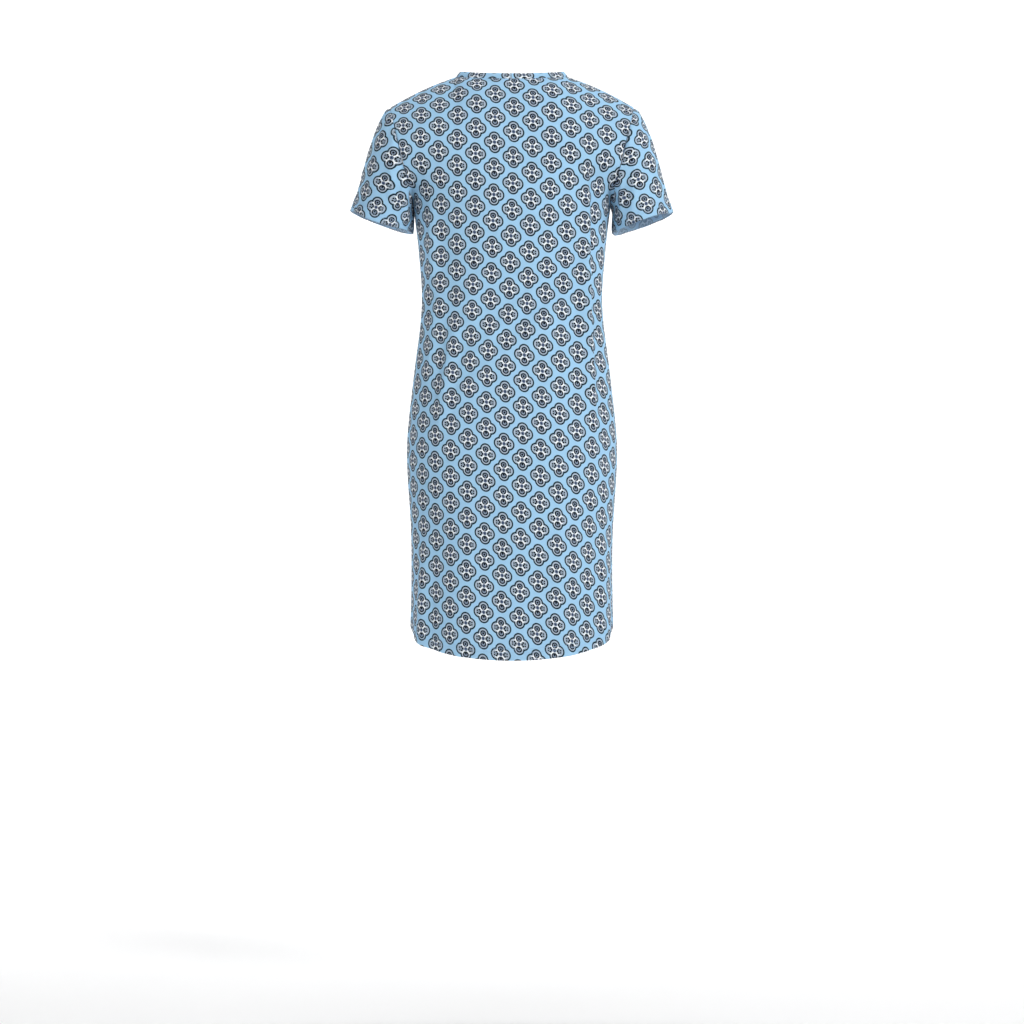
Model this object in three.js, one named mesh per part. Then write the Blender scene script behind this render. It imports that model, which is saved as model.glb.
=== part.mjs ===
// Patient gown: a pull-on knitted nightshirt with a closed back, short set-in sleeves,
// a narrow neckband and a shirt-tail hem that is notched at both side seams.
// Millimetres. +Z up, the wearer faces +Y, so the back panel faces -Y and the wearer's
// right arm is at +X. The origin lies between the shoulders, level with the side neck.
import * as THREE from 'three';

// ---------- driving dimensions ----------
const CLOTH = 1.2; // thickness that stands for one layer of jersey with its loft
const GAP = 0.35; // clear distance between two pieces that are sewn together
const NECK_HALF_WIDTH = 92; // half width of the neck seam
const NECK_SIDE_Z = -5; // height of the neck seam at the side of the neck
const BACK_NECK_DEPTH = 66; // centre back of the neck seam, behind the shoulder line
const BACK_NECK_DROP = 10; // how far the back neck seam dips below the side neck
const FRONT_NECK_REACH = 94; // centre front of the neck seam, before the shoulder line
const FRONT_NECK_DROP = 80; // how far the front neck seam dips below the side neck
const BAND_HEIGHT = 13; // finished height of the neckband
const BAND_THICKNESS = 2.4; // two layers of jersey
const SHOULDER_X = 200; // shoulder point, where shoulder seam and armhole meet
const SHOULDER_Z = -56;
const UNDERARM_X = 162; // lowest point of the armhole, where the side seam starts
const UNDERARM_Z = -212;
const WAIST_HALF_WIDTH = 148;
const HIP_HALF_WIDTH = 172;
const HEM_HALF_WIDTH = 167;
const BACK_LENGTH = 958; // origin level down to the lowest point of the hem
const HEM_NOTCH_RISE = 65; // how far the hem rises from centre to side notch
const HEM_FOLD = 20; // turned-up depth of the body hem
const SLEEVE_HEM_X = 214; // centre of the sleeve opening
const SLEEVE_HEM_Z = -250.5;
const SLEEVE_HEM_HALF = 55.2; // half width of the sleeve opening, seen from behind
const SLEEVE_HEM_HALF_DEPTH = 74; // half of the opening from front to back
const SLEEVE_HEM_TILT = THREE.MathUtils.degToRad(19.6);
const SLEEVE_FOLD = 18; // turned-up depth of the sleeve hem
const SEAM_ALLOWANCE = 9; // width of the overlocked allowances inside
const LABEL_WIDTH = 32;
const LABEL_HEIGHT = 42;
const CARE_WIDTH = 45;
const CARE_HEIGHT = 28;
const CARE_LABEL_Z = -700;

// Cross sections of the body below the armhole: height, half width, depth of the back
// and of the front from the side seam. Each is a quarter of a rounded rectangle.
const SECTION_POWER = 2.35;
const SECTIONS = [
  { z: UNDERARM_Z, width: UNDERARM_X, back: 112, front: 119 },
  { z: UNDERARM_Z - 78, width: (UNDERARM_X + WAIST_HALF_WIDTH) / 2 - 2, back: 101, front: 113 },
  { z: -380, width: WAIST_HALF_WIDTH, back: 94, front: 105 },
  { z: -500, width: WAIST_HALF_WIDTH + 13.5, back: 112, front: 108 },
  { z: -615, width: HIP_HALF_WIDTH, back: 125, front: 114 },
  { z: -760, width: (HIP_HALF_WIDTH + HEM_HALF_WIDTH) / 2 - 4.5, back: 123, front: 112 },
  { z: -BACK_LENGTH, width: HEM_HALF_WIDTH, back: 118, front: 110 },
];
const CHEST_BACK = 107; // depth of the shoulder blades at the middle of the armhole
const CHEST_FRONT = 116;
const CHEST_Z = (SHOULDER_Z + UNDERARM_Z) / 2;

// Mesh fineness.
const ACROSS = 12; // columns in half a panel, half of them under the neck
const UPPER_ROWS = 7;
const LOWER_ARMHOLE_ROWS = 7;
const BODY_ROWS = 12;
const AROUND_SLEEVE = 28;
const SLEEVE_ROWS = 7;

// ---------- colours ----------
const PRINT = { color: 0x9cb9d6, roughness: 0.9, metalness: 0 };
const REVERSE = { color: 0xa9c3dc, roughness: 0.92, metalness: 0 };
const OVERLOCK = { color: 0xb9cfe4, roughness: 0.9, metalness: 0 };
const TAPE = { color: 0xa3c4e6, roughness: 0.9, metalness: 0 };
const LABEL = { color: 0xf2f3f1, roughness: 0.7, metalness: 0 };

const gown = new THREE.Group();
const vec = (x, y, z) => new THREE.Vector3(x, y, z);
const lerp = THREE.MathUtils.lerp;
const smooth = (t) => t * t * (3 - 2 * t);

// ---------- armhole: one flat circle on each side, leaning outwards at the top ----------
const ARMHOLE_CENTRE = vec((SHOULDER_X + UNDERARM_X) / 2, 0, (SHOULDER_Z + UNDERARM_Z) / 2);
const ARMHOLE_UP = vec(SHOULDER_X - UNDERARM_X, 0, SHOULDER_Z - UNDERARM_Z).normalize();
const ARMHOLE_RADIUS = Math.hypot(SHOULDER_X - UNDERARM_X, SHOULDER_Z - UNDERARM_Z) / 2;
const ARMHOLE_OUT = vec(ARMHOLE_UP.z, 0, -ARMHOLE_UP.x);
const QUARTER_TANGENT = 1.657 * ARMHOLE_RADIUS; // Hermite tangent of a quarter circle

function armholePoint(angle, side, radius = ARMHOLE_RADIUS, outward = 0) {
  const point = ARMHOLE_CENTRE.clone();
  point.addScaledVector(ARMHOLE_UP, radius * Math.cos(angle));
  point.addScaledVector(ARMHOLE_OUT, outward);
  point.y += side * radius * Math.sin(angle);
  return point;
}

function hermite(p0, m0, p1, m1, t) {
  const a = 2 * t ** 3 - 3 * t ** 2 + 1;
  const b = t ** 3 - 2 * t ** 2 + t;
  const c = -2 * t ** 3 + 3 * t ** 2;
  const d = t ** 3 - t ** 2;
  const point = p0.clone().multiplyScalar(a);
  return point.addScaledVector(m0, b).addScaledVector(p1, c).addScaledVector(m1, d);
}

// A curve sampled finely and read back by its share of arc length.
function evenly(curve) {
  const points = [];
  const lengths = [0];
  for (let i = 0; i <= 96; i += 1) {
    points.push(curve(i / 96));
    if (i > 0) lengths.push(lengths[i - 1] + points[i].distanceTo(points[i - 1]));
  }
  return (share) => {
    const wanted = share * lengths[96];
    let i = 1;
    while (i < 96 && lengths[i] < wanted) i += 1;
    const part = (wanted - lengths[i - 1]) / (lengths[i] - lengths[i - 1]);
    return points[i - 1].clone().lerp(points[i], part);
  };
}

// ---------- body panels: u runs from the centre (0) to armhole and side seam (1) ----------
const NECK_SHARE = 0.5; // u of the side neck point

// Neck seam of one side: t runs from the centre (0) to the side neck (1).
function neckCurve(side) {
  return evenly((t) => {
    const angle = (t * Math.PI) / 2;
    const reach = side < 0 ? BACK_NECK_DEPTH : FRONT_NECK_REACH;
    const drop = side < 0 ? BACK_NECK_DROP : FRONT_NECK_DROP;
    const fall = Math.cos(angle) ** (side < 0 ? 1.4 : 1.25);
    const y = side * reach * Math.cos(angle) ** 1.06;
    return vec(NECK_HALF_WIDTH * Math.sin(angle), y, NECK_SIDE_Z - drop * fall);
  });
}

function shoulderPoint(t) {
  const arch = 4 * Math.sin(Math.PI * t);
  const z = lerp(NECK_SIDE_Z, SHOULDER_Z, t) + arch;
  return vec(lerp(NECK_HALF_WIDTH, SHOULDER_X, t), 0, z);
}

// Horizontal line across the shoulder blades or the bust to the middle of the armhole.
function chestCurve(side) {
  const end = armholePoint(Math.PI / 2, side);
  const depth = side < 0 ? CHEST_BACK : CHEST_FRONT;
  return evenly((t) => {
    const y = side * (depth - (depth - Math.abs(end.y)) * t ** 2.5);
    return vec(end.x * t, y, lerp(CHEST_Z, end.z, t * t));
  });
}

function sectionAt(z) {
  let i = 0;
  while (i < SECTIONS.length - 2 && z < SECTIONS[i + 1].z) i += 1;
  const s0 = SECTIONS[Math.max(i - 1, 0)];
  const s1 = SECTIONS[i];
  const s2 = SECTIONS[i + 1];
  const s3 = SECTIONS[Math.min(i + 2, SECTIONS.length - 1)];
  const t = (z - s1.z) / (s2.z - s1.z);
  const span = s2.z - s1.z;
  const read = (key) => {
    const m1 = ((s2[key] - s0[key]) / (s2.z - s0.z)) * span;
    const m2 = ((s3[key] - s1[key]) / (s3.z - s1.z)) * span;
    const rise = (2 * t ** 3 - 3 * t ** 2 + 1) * s1[key] + (t ** 3 - 2 * t ** 2 + t) * m1;
    return rise + (-2 * t ** 3 + 3 * t ** 2) * s2[key] + (t ** 3 - t ** 2) * m2;
  };
  return { width: read('width'), back: read('back'), front: read('front') };
}

function sectionCurve(side, z) {
  const { width, back, front } = sectionAt(z);
  const depth = side < 0 ? back : front;
  return evenly((t) => {
    const angle = (t * Math.PI) / 2;
    const x = width * Math.sin(angle) ** (2 / SECTION_POWER);
    const y = side * depth * Math.cos(angle) ** (2 / SECTION_POWER);
    return vec(x, y, z);
  });
}

function hemZ(u) {
  return -BACK_LENGTH + HEM_NOTCH_RISE * (0.68 * u * u + 0.32 * u ** 6);
}

function blendThree(u, centre, neck, edge) {
  if (u < NECK_SHARE) return centre.clone().lerp(neck, smooth(u / NECK_SHARE));
  return neck.clone().lerp(edge, smooth((u - NECK_SHARE) / (1 - NECK_SHARE)));
}

function makePanel(side) {
  const neck = neckCurve(side);
  const chest = chestCurve(side);
  const underarm = sectionCurve(side, UNDERARM_Z);
  const leave = side < 0
    ? [vec(0, -72, -92), vec(0, -165, -22)]
    : [vec(0, 30, -52), vec(0, 160, -30)];
  const arrive = side < 0
    ? [vec(0, -10, -118), vec(0, -12, -165)]
    : [vec(0, 12, -52), vec(0, 14, -150)];
  const armholeDown = ARMHOLE_UP.clone().multiplyScalar(-QUARTER_TANGENT);
  const armholeBack = vec(0, side * QUARTER_TANGENT, 0);
  const straight = vec(0, side < 0 ? 6 : 2, -88);

  // row: 0 at neck and shoulder, 1 at the chest line, 2 at the underarm, 3 at the hem
  function upper(u, row) {
    const top = u <= NECK_SHARE
      ? neck(u / NECK_SHARE)
      : shoulderPoint((u - NECK_SHARE) / (1 - NECK_SHARE));
    if (row <= 1) {
      const m0 = blendThree(u, leave[0], leave[1], armholeBack);
      const m1 = blendThree(u, arrive[0], arrive[1], armholeDown);
      return hermite(top, m0, chest(u), m1, row);
    }
    const edgeShare = u ** 8;
    const m1 = vec(0, 0, -88).lerp(armholeDown, edgeShare);
    const m2 = straight.clone().lerp(vec(0, -side * QUARTER_TANGENT, 0), edgeShare);
    return hermite(chest(u), m1, underarm(u), m2, row - 1);
  }

  return (u, row) => {
    const across = Math.min(Math.abs(u), 1);
    let point;
    if (row <= 2) point = upper(across, row);
    else {
      const z = lerp(UNDERARM_Z, hemZ(across), row - 2);
      point = sectionCurve(side, z)(across);
    }
    if (u < 0) point.x = -point.x;
    return point;
  };
}

const PANELS = { back: makePanel(-1), front: makePanel(1) };

// ---------- solids from sheets ----------
// Closed solid between two grids of points. wrap joins the last column to the first.
function sheetGeometry(outer, inner, wrap = false) {
  const rows = outer.length;
  const cols = outer[0].length;
  const positions = [];
  [outer, inner].forEach((grid) => {
    grid.forEach((row) => row.forEach((p) => positions.push(p.x, p.y, p.z)));
  });
  const at = (layer, i, j) => layer * rows * cols + i * cols + (j % cols);
  const index = [];
  const quad = (a, b, c, d) => index.push(a, b, c, a, c, d);
  const last = wrap ? cols : cols - 1;
  for (let i = 0; i < rows - 1; i += 1) {
    for (let j = 0; j < last; j += 1) {
      quad(at(0, i, j), at(0, i + 1, j), at(0, i + 1, j + 1), at(0, i, j + 1));
      quad(at(1, i, j), at(1, i, j + 1), at(1, i + 1, j + 1), at(1, i + 1, j));
    }
  }
  for (let j = 0; j < last; j += 1) {
    quad(at(0, 0, j), at(0, 0, j + 1), at(1, 0, j + 1), at(1, 0, j));
    const end = rows - 1;
    quad(at(0, end, j), at(1, end, j), at(1, end, j + 1), at(0, end, j + 1));
  }
  if (!wrap) {
    for (let i = 0; i < rows - 1; i += 1) {
      quad(at(0, i, 0), at(1, i, 0), at(1, i + 1, 0), at(0, i + 1, 0));
      quad(at(0, i, last), at(0, i + 1, last), at(1, i + 1, last), at(1, i, last));
    }
  }
  const geometry = new THREE.BufferGeometry();
  let volume = 0;
  const p = (k) => vec(positions[3 * k], positions[3 * k + 1], positions[3 * k + 2]);
  for (let k = 0; k < index.length; k += 3) {
    volume += p(index[k]).dot(p(index[k + 1]).cross(p(index[k + 2])));
  }
  if (volume < 0) index.reverse();
  geometry.setAttribute('position', new THREE.Float32BufferAttribute(positions, 3));
  geometry.setIndex(index);
  geometry.computeVertexNormals();
  return geometry;
}

function addPiece(name, geometry, look) {
  const mesh = new THREE.Mesh(geometry, new THREE.MeshStandardMaterial(look));
  mesh.name = name;
  gown.add(mesh);
  return mesh;
}

// Along the armhole and side edges the inward direction is read a little inside the panel,
// because the rows run into the armhole edge there.
function panelGrid(side, us, rows, depth) {
  const surface = PANELS[side];
  const eps = 0.003;
  const facing = side === 'back' ? 1 : -1;
  return rows.map((row) => us.map((u) => {
    const point = surface(u, row);
    const nu = THREE.MathUtils.clamp(u, -0.95, 0.95);
    const nr = THREE.MathUtils.clamp(row, eps, 3 - eps);
    const du = surface(nu + eps, nr).sub(surface(nu - eps, nr));
    const dr = surface(nu, nr + eps).sub(surface(nu, nr - eps));
    const inward = du.cross(dr).multiplyScalar(facing).normalize();
    if (Math.abs(u) > 0.999 && row <= 2) {
      const out = ARMHOLE_OUT.clone();
      out.x *= Math.sign(u);
      inward.addScaledVector(out, -inward.dot(out)).normalize();
    }
    return point.addScaledVector(inward, depth);
  }));
}

// ---------- panels ----------
const panelRows = [];
for (let i = 0; i < UPPER_ROWS; i += 1) panelRows.push(i / UPPER_ROWS);
for (let i = 0; i < LOWER_ARMHOLE_ROWS; i += 1) panelRows.push(1 + i / LOWER_ARMHOLE_ROWS);
for (let i = 0; i <= BODY_ROWS; i += 1) panelRows.push(2 + i / BODY_ROWS);

const panelColumns = [];
for (let j = -ACROSS; j <= ACROSS; j += 1) panelColumns.push(j / ACROSS);

// The cut edges stop half a gap short of the seam line they are sewn on.
function trimmed(grid, panel) {
  const away = panel === 'back' ? -1 : 1;
  grid.forEach((row, i) => row.forEach((point, j) => {
    const side = j === 0 || j === row.length - 1;
    const shoulder = i === 0 && Math.abs(panelColumns[j]) >= NECK_SHARE;
    if ((side || shoulder) && point.y * away < GAP / 2) point.y = (away * GAP) / 2;
  }));
  return grid;
}

Object.keys(PANELS).forEach((side) => {
  const outer = trimmed(panelGrid(side, panelColumns, panelRows, 0), side);
  const inner = trimmed(panelGrid(side, panelColumns, panelRows, CLOTH), side);
  addPiece(`${side}_panel`, sheetGeometry(outer, inner), PRINT);
});

// ---------- sleeves ----------
const HEM_ACROSS = vec(Math.cos(SLEEVE_HEM_TILT), 0, Math.sin(SLEEVE_HEM_TILT));
const HEM_OUT = vec(Math.sin(SLEEVE_HEM_TILT), 0, -Math.cos(SLEEVE_HEM_TILT));

// angle 0 at the shoulder point, half a turn at the underarm; row 0 at armhole, 1 at hem
function sleeveSurface(angle, row) {
  const start = armholePoint(angle, -1, ARMHOLE_RADIUS, GAP);
  const end = vec(SLEEVE_HEM_X, 0, SLEEVE_HEM_Z);
  end.addScaledVector(HEM_ACROSS, SLEEVE_HEM_HALF * Math.cos(angle));
  end.y -= SLEEVE_HEM_HALF_DEPTH * Math.sin(angle);
  const length = start.distanceTo(end);
  const crown = (1 + Math.cos(angle)) / 2;
  const leave = vec(lerp(0.1, 0.62, crown), 0, lerp(-0.99, -0.78, crown));
  const bulge = -0.22 * Math.sin(angle);
  leave.y += bulge;
  const arrive = vec(lerp(0.05, 0.33, crown), 0, -0.95);
  arrive.multiplyScalar(length);
  return hermite(start, leave.multiplyScalar(length), end, arrive, row);
}

function sleeveGrid(depth, rows, columns = AROUND_SLEEVE) {
  const eps = 0.004;
  return rows.map((row) => {
    const line = [];
    for (let j = 0; j < columns; j += 1) {
      const angle = (2 * Math.PI * j) / columns;
      const point = sleeveSurface(angle, row);
      const da = sleeveSurface(angle + eps, row).sub(sleeveSurface(angle - eps, row));
      const dr = sleeveSurface(angle, row + eps).sub(sleeveSurface(angle, row - eps));
      const inward = dr.cross(da).normalize();
      if (row === 0) {
        const off = inward.dot(ARMHOLE_OUT);
        inward.addScaledVector(ARMHOLE_OUT, -off).normalize();
      }
      line.push(point.addScaledVector(inward, depth));
    }
    return line;
  });
}

const mirrorGrid = (grid) => grid.map((row) => row.map((p) => vec(-p.x, p.y, p.z)));
const SIDES = [['left', mirrorGrid], ['right', (grid) => grid]];

const sleeveRows = [];
for (let i = 0; i <= SLEEVE_ROWS; i += 1) sleeveRows.push(i / SLEEVE_ROWS);

SIDES.forEach(([side, place]) => {
  const outer = place(sleeveGrid(0, sleeveRows));
  const inner = place(sleeveGrid(CLOTH, sleeveRows));
  addPiece(`${side}_sleeve`, sheetGeometry(outer, inner, true), PRINT);
  const foldShare = SLEEVE_FOLD / 112;
  const foldRows = [1 - foldShare, 1 - foldShare / 2, 0.999];
  const foldOuter = place(sleeveGrid(CLOTH + GAP, foldRows));
  const foldInner = place(sleeveGrid(2 * CLOTH + GAP, foldRows));
  addPiece(`${side}_sleeve_hem`, sheetGeometry(foldOuter, foldInner, true), REVERSE);
});

// Overlocked allowance of the armhole seam: a flat ring just inside the seam line.
SIDES.forEach(([side, place]) => {
  const ring = (radius, outward) => {
    const line = [];
    for (let j = 0; j < AROUND_SLEEVE; j += 1) {
      line.push(armholePoint((2 * Math.PI * j) / AROUND_SLEEVE, -1, radius, outward));
    }
    return line;
  };
  const near = ARMHOLE_RADIUS * 0.95 - 2 * CLOTH;
  const far = near - SEAM_ALLOWANCE;
  const outer = place([ring(near, -2.2), ring(far, -2.6)]);
  const inner = place([ring(near, -2.2 - CLOTH), ring(far, -2.6 - CLOTH)]);
  addPiece(`${side}_armhole_seam`, sheetGeometry(outer, inner, true), OVERLOCK);
});

// Underarm seam of the sleeve: a narrow strip along the inside of its lowest line.
SIDES.forEach(([side, place]) => {
  const strip = (depth) => {
    const rows = [0.04, 0.3, 0.55, 0.72];
    const across = [-1, -0.34, 0.34, 1];
    const eps = 0.004;
    return rows.map((row) => across.map((share) => {
      const angle = Math.PI + (share * SEAM_ALLOWANCE * 0.5) / SLEEVE_HEM_HALF_DEPTH;
      const point = sleeveSurface(angle, row);
      const da = sleeveSurface(angle + eps, row).sub(sleeveSurface(angle - eps, row));
      const dr = sleeveSurface(angle, row + eps).sub(sleeveSurface(angle, row - eps));
      return point.addScaledVector(dr.cross(da).normalize(), depth);
    }));
  };
  const outer = place(strip(CLOTH + GAP + 0.4));
  const inner = place(strip(2 * CLOTH + GAP + 0.4));
  addPiece(`${side}_sleeve_seam`, sheetGeometry(outer, inner), OVERLOCK);
});

// ---------- seams inside the body ----------
// Strip that lies on the inside of a seam line, given by points on it and inward normals.
function seamStrip(path, halfWidth, depth, thickness) {
  const layer = (d) => path.map(({ point, inward, across }) => [-1, 0, 1].map((share) => {
    const p = point.clone().addScaledVector(inward, d);
    return p.addScaledVector(across, share * halfWidth);
  }));
  return sheetGeometry(layer(depth), layer(depth + thickness));
}

SIDES.forEach(([side]) => {
  const sign = side === 'left' ? -1 : 1;
  const path = [];
  for (let i = 0; i <= 14; i += 1) {
    const row = lerp(2.03, 2.94, i / 14);
    const point = PANELS.back(sign, row);
    point.y = 0;
    path.push({ point, inward: vec(-sign, 0, 0), across: vec(0, 1, 0) });
  }
  const depth = CLOTH + GAP + 1;
  addPiece(`${side}_side_seam`, seamStrip(path, SEAM_ALLOWANCE / 2, depth, CLOTH), OVERLOCK);
});

SIDES.forEach(([side]) => {
  const sign = side === 'left' ? -1 : 1;
  const path = [];
  for (let i = 0; i <= 6; i += 1) {
    const t = lerp(0.06, 0.9, i / 6);
    const point = shoulderPoint(t);
    point.x *= sign;
    path.push({ point, inward: vec(-sign * 0.38, 0, -0.925), across: vec(0, 1, 0) });
  }
  const depth = CLOTH + GAP + 1.6;
  const solid = seamStrip(path, SEAM_ALLOWANCE / 2, depth, CLOTH);
  addPiece(`${side}_shoulder_seam`, solid, OVERLOCK);
});

// ---------- hems: the turned-up layer on the inside of each panel ----------
Object.keys(PANELS).forEach((side) => {
  const share = HEM_FOLD / (BACK_LENGTH + UNDERARM_Z);
  const rows = [3 - share, 3 - share / 2, 3];
  const columns = panelColumns.filter((u) => Math.abs(u) < 0.95);
  const least = 0.955;
  const us = [-least, ...columns, least];
  const outer = panelGrid(side, us, rows, CLOTH + GAP);
  const inner = panelGrid(side, us, rows, 2 * CLOTH + GAP);
  addPiece(`${side}_hem`, sheetGeometry(outer, inner), REVERSE);
});

// ---------- neckband and back neck tape ----------
const NECK_STEPS = 12;

// Neck seam all round: angle index runs from centre back over the right side to the front.
function neckLoop() {
  const back = neckCurve(-1);
  const front = neckCurve(1);
  const points = [];
  for (let i = 0; i < NECK_STEPS; i += 1) points.push(back(i / NECK_STEPS));
  for (let i = 0; i < NECK_STEPS; i += 1) points.push(front(1 - i / NECK_STEPS));
  const right = points.concat([front(0)]);
  const left = right.slice(1, -1).reverse().map((p) => vec(-p.x, p.y, p.z));
  return right.concat(left);
}

const neckSeam = neckLoop();
const bandRise = neckSeam.map((p) => {
  const inward = vec(-p.x / NECK_HALF_WIDTH, -p.y / BACK_NECK_DEPTH, 0).normalize();
  const frontShare = THREE.MathUtils.clamp(p.y / FRONT_NECK_REACH, 0, 1);
  const lean = p.y < 0 ? 0.62 : lerp(0.62, 0.5, frontShare);
  return inward.multiplyScalar(lean).add(vec(0, 0, 1 - 0.25 * lean)).normalize();
});
const bandOut = neckSeam.map((p, i) => {
  const n = neckSeam.length;
  const along = neckSeam[(i + 1) % n].clone().sub(neckSeam[(i + n - 1) % n]);
  return along.cross(bandRise[i]).normalize();
});
const bandLayer = (share, out) => neckSeam.map((p, i) => {
  const start = p.y > 0 ? 2.2 : 1.2;
  const point = p.clone().addScaledVector(bandRise[i], start + share * (BAND_HEIGHT - start));
  return point.addScaledVector(bandOut[i], out);
});
const outerBand = [0, 0.5, 1].map((s) => bandLayer(s, 0.6));
const innerBand = [0, 0.5, 1].map((s) => bandLayer(s, 0.6 - BAND_THICKNESS));
addPiece('neckband', sheetGeometry(outerBand, innerBand, true), PRINT);

// Tape over the back neck seam, from shoulder seam to shoulder seam.
const backCount = NECK_STEPS - 1;
const tapeSteps = [];
for (let i = -backCount; i <= backCount; i += 1) {
  tapeSteps.push((i + neckSeam.length) % neckSeam.length);
}
const tapeLayer = (out) => [-6.5, -1, 4.5].map((rise) => tapeSteps.map((k) => {
  const point = neckSeam[k].clone().addScaledVector(bandRise[k], rise);
  return point.addScaledVector(bandOut[k], out);
}));
addPiece('back_neck_tape', sheetGeometry(tapeLayer(-5.2), tapeLayer(-6)), TAPE);

// ---------- notch tacks and blank labels ----------
SIDES.forEach(([side]) => {
  const sign = side === 'left' ? -1 : 1;
  const tack = new THREE.BoxGeometry(1.2, 7, 2.4);
  const point = PANELS.back(sign, 2.985);
  const mesh = addPiece(`${side}_notch_tack`, tack, OVERLOCK);
  mesh.position.set(point.x - sign * (CLOTH + 1.6), 0, point.z);
});

const sizeLabel = addPiece('size_label', new THREE.BoxGeometry(LABEL_WIDTH, 0.6, LABEL_HEIGHT), LABEL);
sizeLabel.position.set(0, -(BACK_NECK_DEPTH - 8), NECK_SIDE_Z - BACK_NECK_DROP - 9 - LABEL_HEIGHT / 2);

const careAngle = THREE.MathUtils.degToRad(45);
const careHinge = vec(-(sectionAt(CARE_LABEL_Z).width - 5), 0, CARE_LABEL_Z);
const careLabel = addPiece('care_label', new THREE.BoxGeometry(0.6, CARE_WIDTH, CARE_HEIGHT), LABEL);
careLabel.position.copy(careHinge);
careLabel.position.x += Math.sin(careAngle) * (CARE_WIDTH / 2 + 0.5);
careLabel.position.y += Math.cos(careAngle) * (CARE_WIDTH / 2 + 0.5);
careLabel.rotation.z = -careAngle;

export default gown;
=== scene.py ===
"""Patient gown: builds the cloth, seams, stitches, labels and stage of a printed jersey gown."""

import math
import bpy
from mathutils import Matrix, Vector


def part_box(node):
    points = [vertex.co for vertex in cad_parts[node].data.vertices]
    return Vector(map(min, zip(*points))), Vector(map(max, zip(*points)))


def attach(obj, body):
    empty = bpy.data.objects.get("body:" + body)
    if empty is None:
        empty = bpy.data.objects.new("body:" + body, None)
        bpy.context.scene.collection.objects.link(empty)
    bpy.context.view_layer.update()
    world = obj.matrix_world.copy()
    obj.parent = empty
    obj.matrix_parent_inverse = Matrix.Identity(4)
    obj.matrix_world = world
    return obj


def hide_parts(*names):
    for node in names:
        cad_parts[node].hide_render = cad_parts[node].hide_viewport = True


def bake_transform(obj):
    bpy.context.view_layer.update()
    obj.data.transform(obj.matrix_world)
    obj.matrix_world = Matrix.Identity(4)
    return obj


bl_info = {
    "name": "Patient gown",
    "version": (1, 0, 0),
    "blender": (4, 5, 0),
    "location": "View3D > Sidebar > Gown",
    "description": "Builds a pull-on printed jersey gown with set-in sleeves and a shirt-tail hem",
    "category": "Add Mesh",
}

import bpy
import numpy as np
from mathutils import Vector

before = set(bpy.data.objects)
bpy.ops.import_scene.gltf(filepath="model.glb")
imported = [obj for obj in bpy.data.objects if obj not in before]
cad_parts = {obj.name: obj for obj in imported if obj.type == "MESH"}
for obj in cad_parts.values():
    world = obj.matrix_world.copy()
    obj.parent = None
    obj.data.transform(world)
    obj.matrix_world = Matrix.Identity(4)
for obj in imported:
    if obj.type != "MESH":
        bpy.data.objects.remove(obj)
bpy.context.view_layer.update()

# ---------------------------------------------------------------- shape of the gown, in metres
NECK_HALF = 0.092
NECK_SIDE_Z = -0.005
NECK_REACH = {-1: 0.066, 1: 0.094}
NECK_DROP = {-1: 0.010, 1: 0.080}
NECK_FALL = {-1: 1.4, 1: 1.25}
SHOULDER = np.array([0.200, 0.0, -0.056])
UNDERARM = np.array([0.162, 0.0, -0.212])
CHEST_DEPTH = {-1: 0.107, 1: 0.116}
BACK_LENGTH = 0.958
HEM_RISE = 0.065
POWER = 2.35
# height, half width, depth of the back, depth of the front
SECTIONS = np.array([
    [-0.212, 0.162, 0.112, 0.119],
    [-0.290, 0.153, 0.101, 0.113],
    [-0.380, 0.148, 0.094, 0.105],
    [-0.500, 0.1615, 0.112, 0.108],
    [-0.615, 0.172, 0.125, 0.114],
    [-0.760, 0.165, 0.123, 0.112],
    [-0.958, 0.167, 0.118, 0.110],
])
HEM_CENTRE = np.array([0.214, 0.0, -0.2505])
HEM_HALF = 0.0552
HEM_DEPTH = 0.074
HEM_TILT = math.radians(19.6)

ARM_CENTRE = (SHOULDER + UNDERARM) / 2
ARM_UP = (SHOULDER - UNDERARM) / np.linalg.norm(SHOULDER - UNDERARM)
ARM_RADIUS = float(np.linalg.norm(SHOULDER - UNDERARM)) / 2
ARM_OUT = np.array([ARM_UP[2], 0.0, -ARM_UP[0]])
# end slope of a curve that follows a quarter of a circle of radius 1
QUARTER_SLOPE = 1.657
QUARTER = QUARTER_SLOPE * ARM_RADIUS
# cloth between the underarm and hem rows, and along a sleeve, in metres
BODY_DROP = 0.72
SLEEVE_DROP = 0.135


def unit(v):
    return v / np.maximum(np.linalg.norm(v, axis=-1, keepdims=True), 1e-12)


def ease(t):
    t = np.clip(t, 0, 1)
    return t * t * (3 - 2 * t)


def hermite(p0, m0, p1, m1, t):
    a = 2 * t**3 - 3 * t**2 + 1
    b = t**3 - 2 * t**2 + t
    c = 3 * t**2 - 2 * t**3
    d = t**3 - t**2
    return a * p0 + b * m0 + c * p1 + d * m1


def run_along(line):
    """Distance along a line at each of its points."""
    return np.concatenate([[0], np.cumsum(np.linalg.norm(np.diff(line, axis=0), axis=1))])


def read_along(at, run, values):
    """Values of a line at the given distances along it."""
    return np.stack([np.interp(at, run, values[:, k]) for k in range(3)], axis=1)


def by_length(points, shares):
    """Points of a finely sampled curve at the given shares of its length."""
    run = run_along(points)
    return read_along(np.asarray(shares) * run[-1], run, points)


FINE = np.linspace(0, 1, 97)


def armhole_point(angle, side, radius=ARM_RADIUS, outward=0.0):
    angle = np.asarray(angle, float)[..., None]
    y = np.array([0.0, 1.0, 0.0]) * side
    return ARM_CENTRE + radius * np.cos(angle) * ARM_UP + radius * np.sin(angle) * y + outward * ARM_OUT


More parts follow.
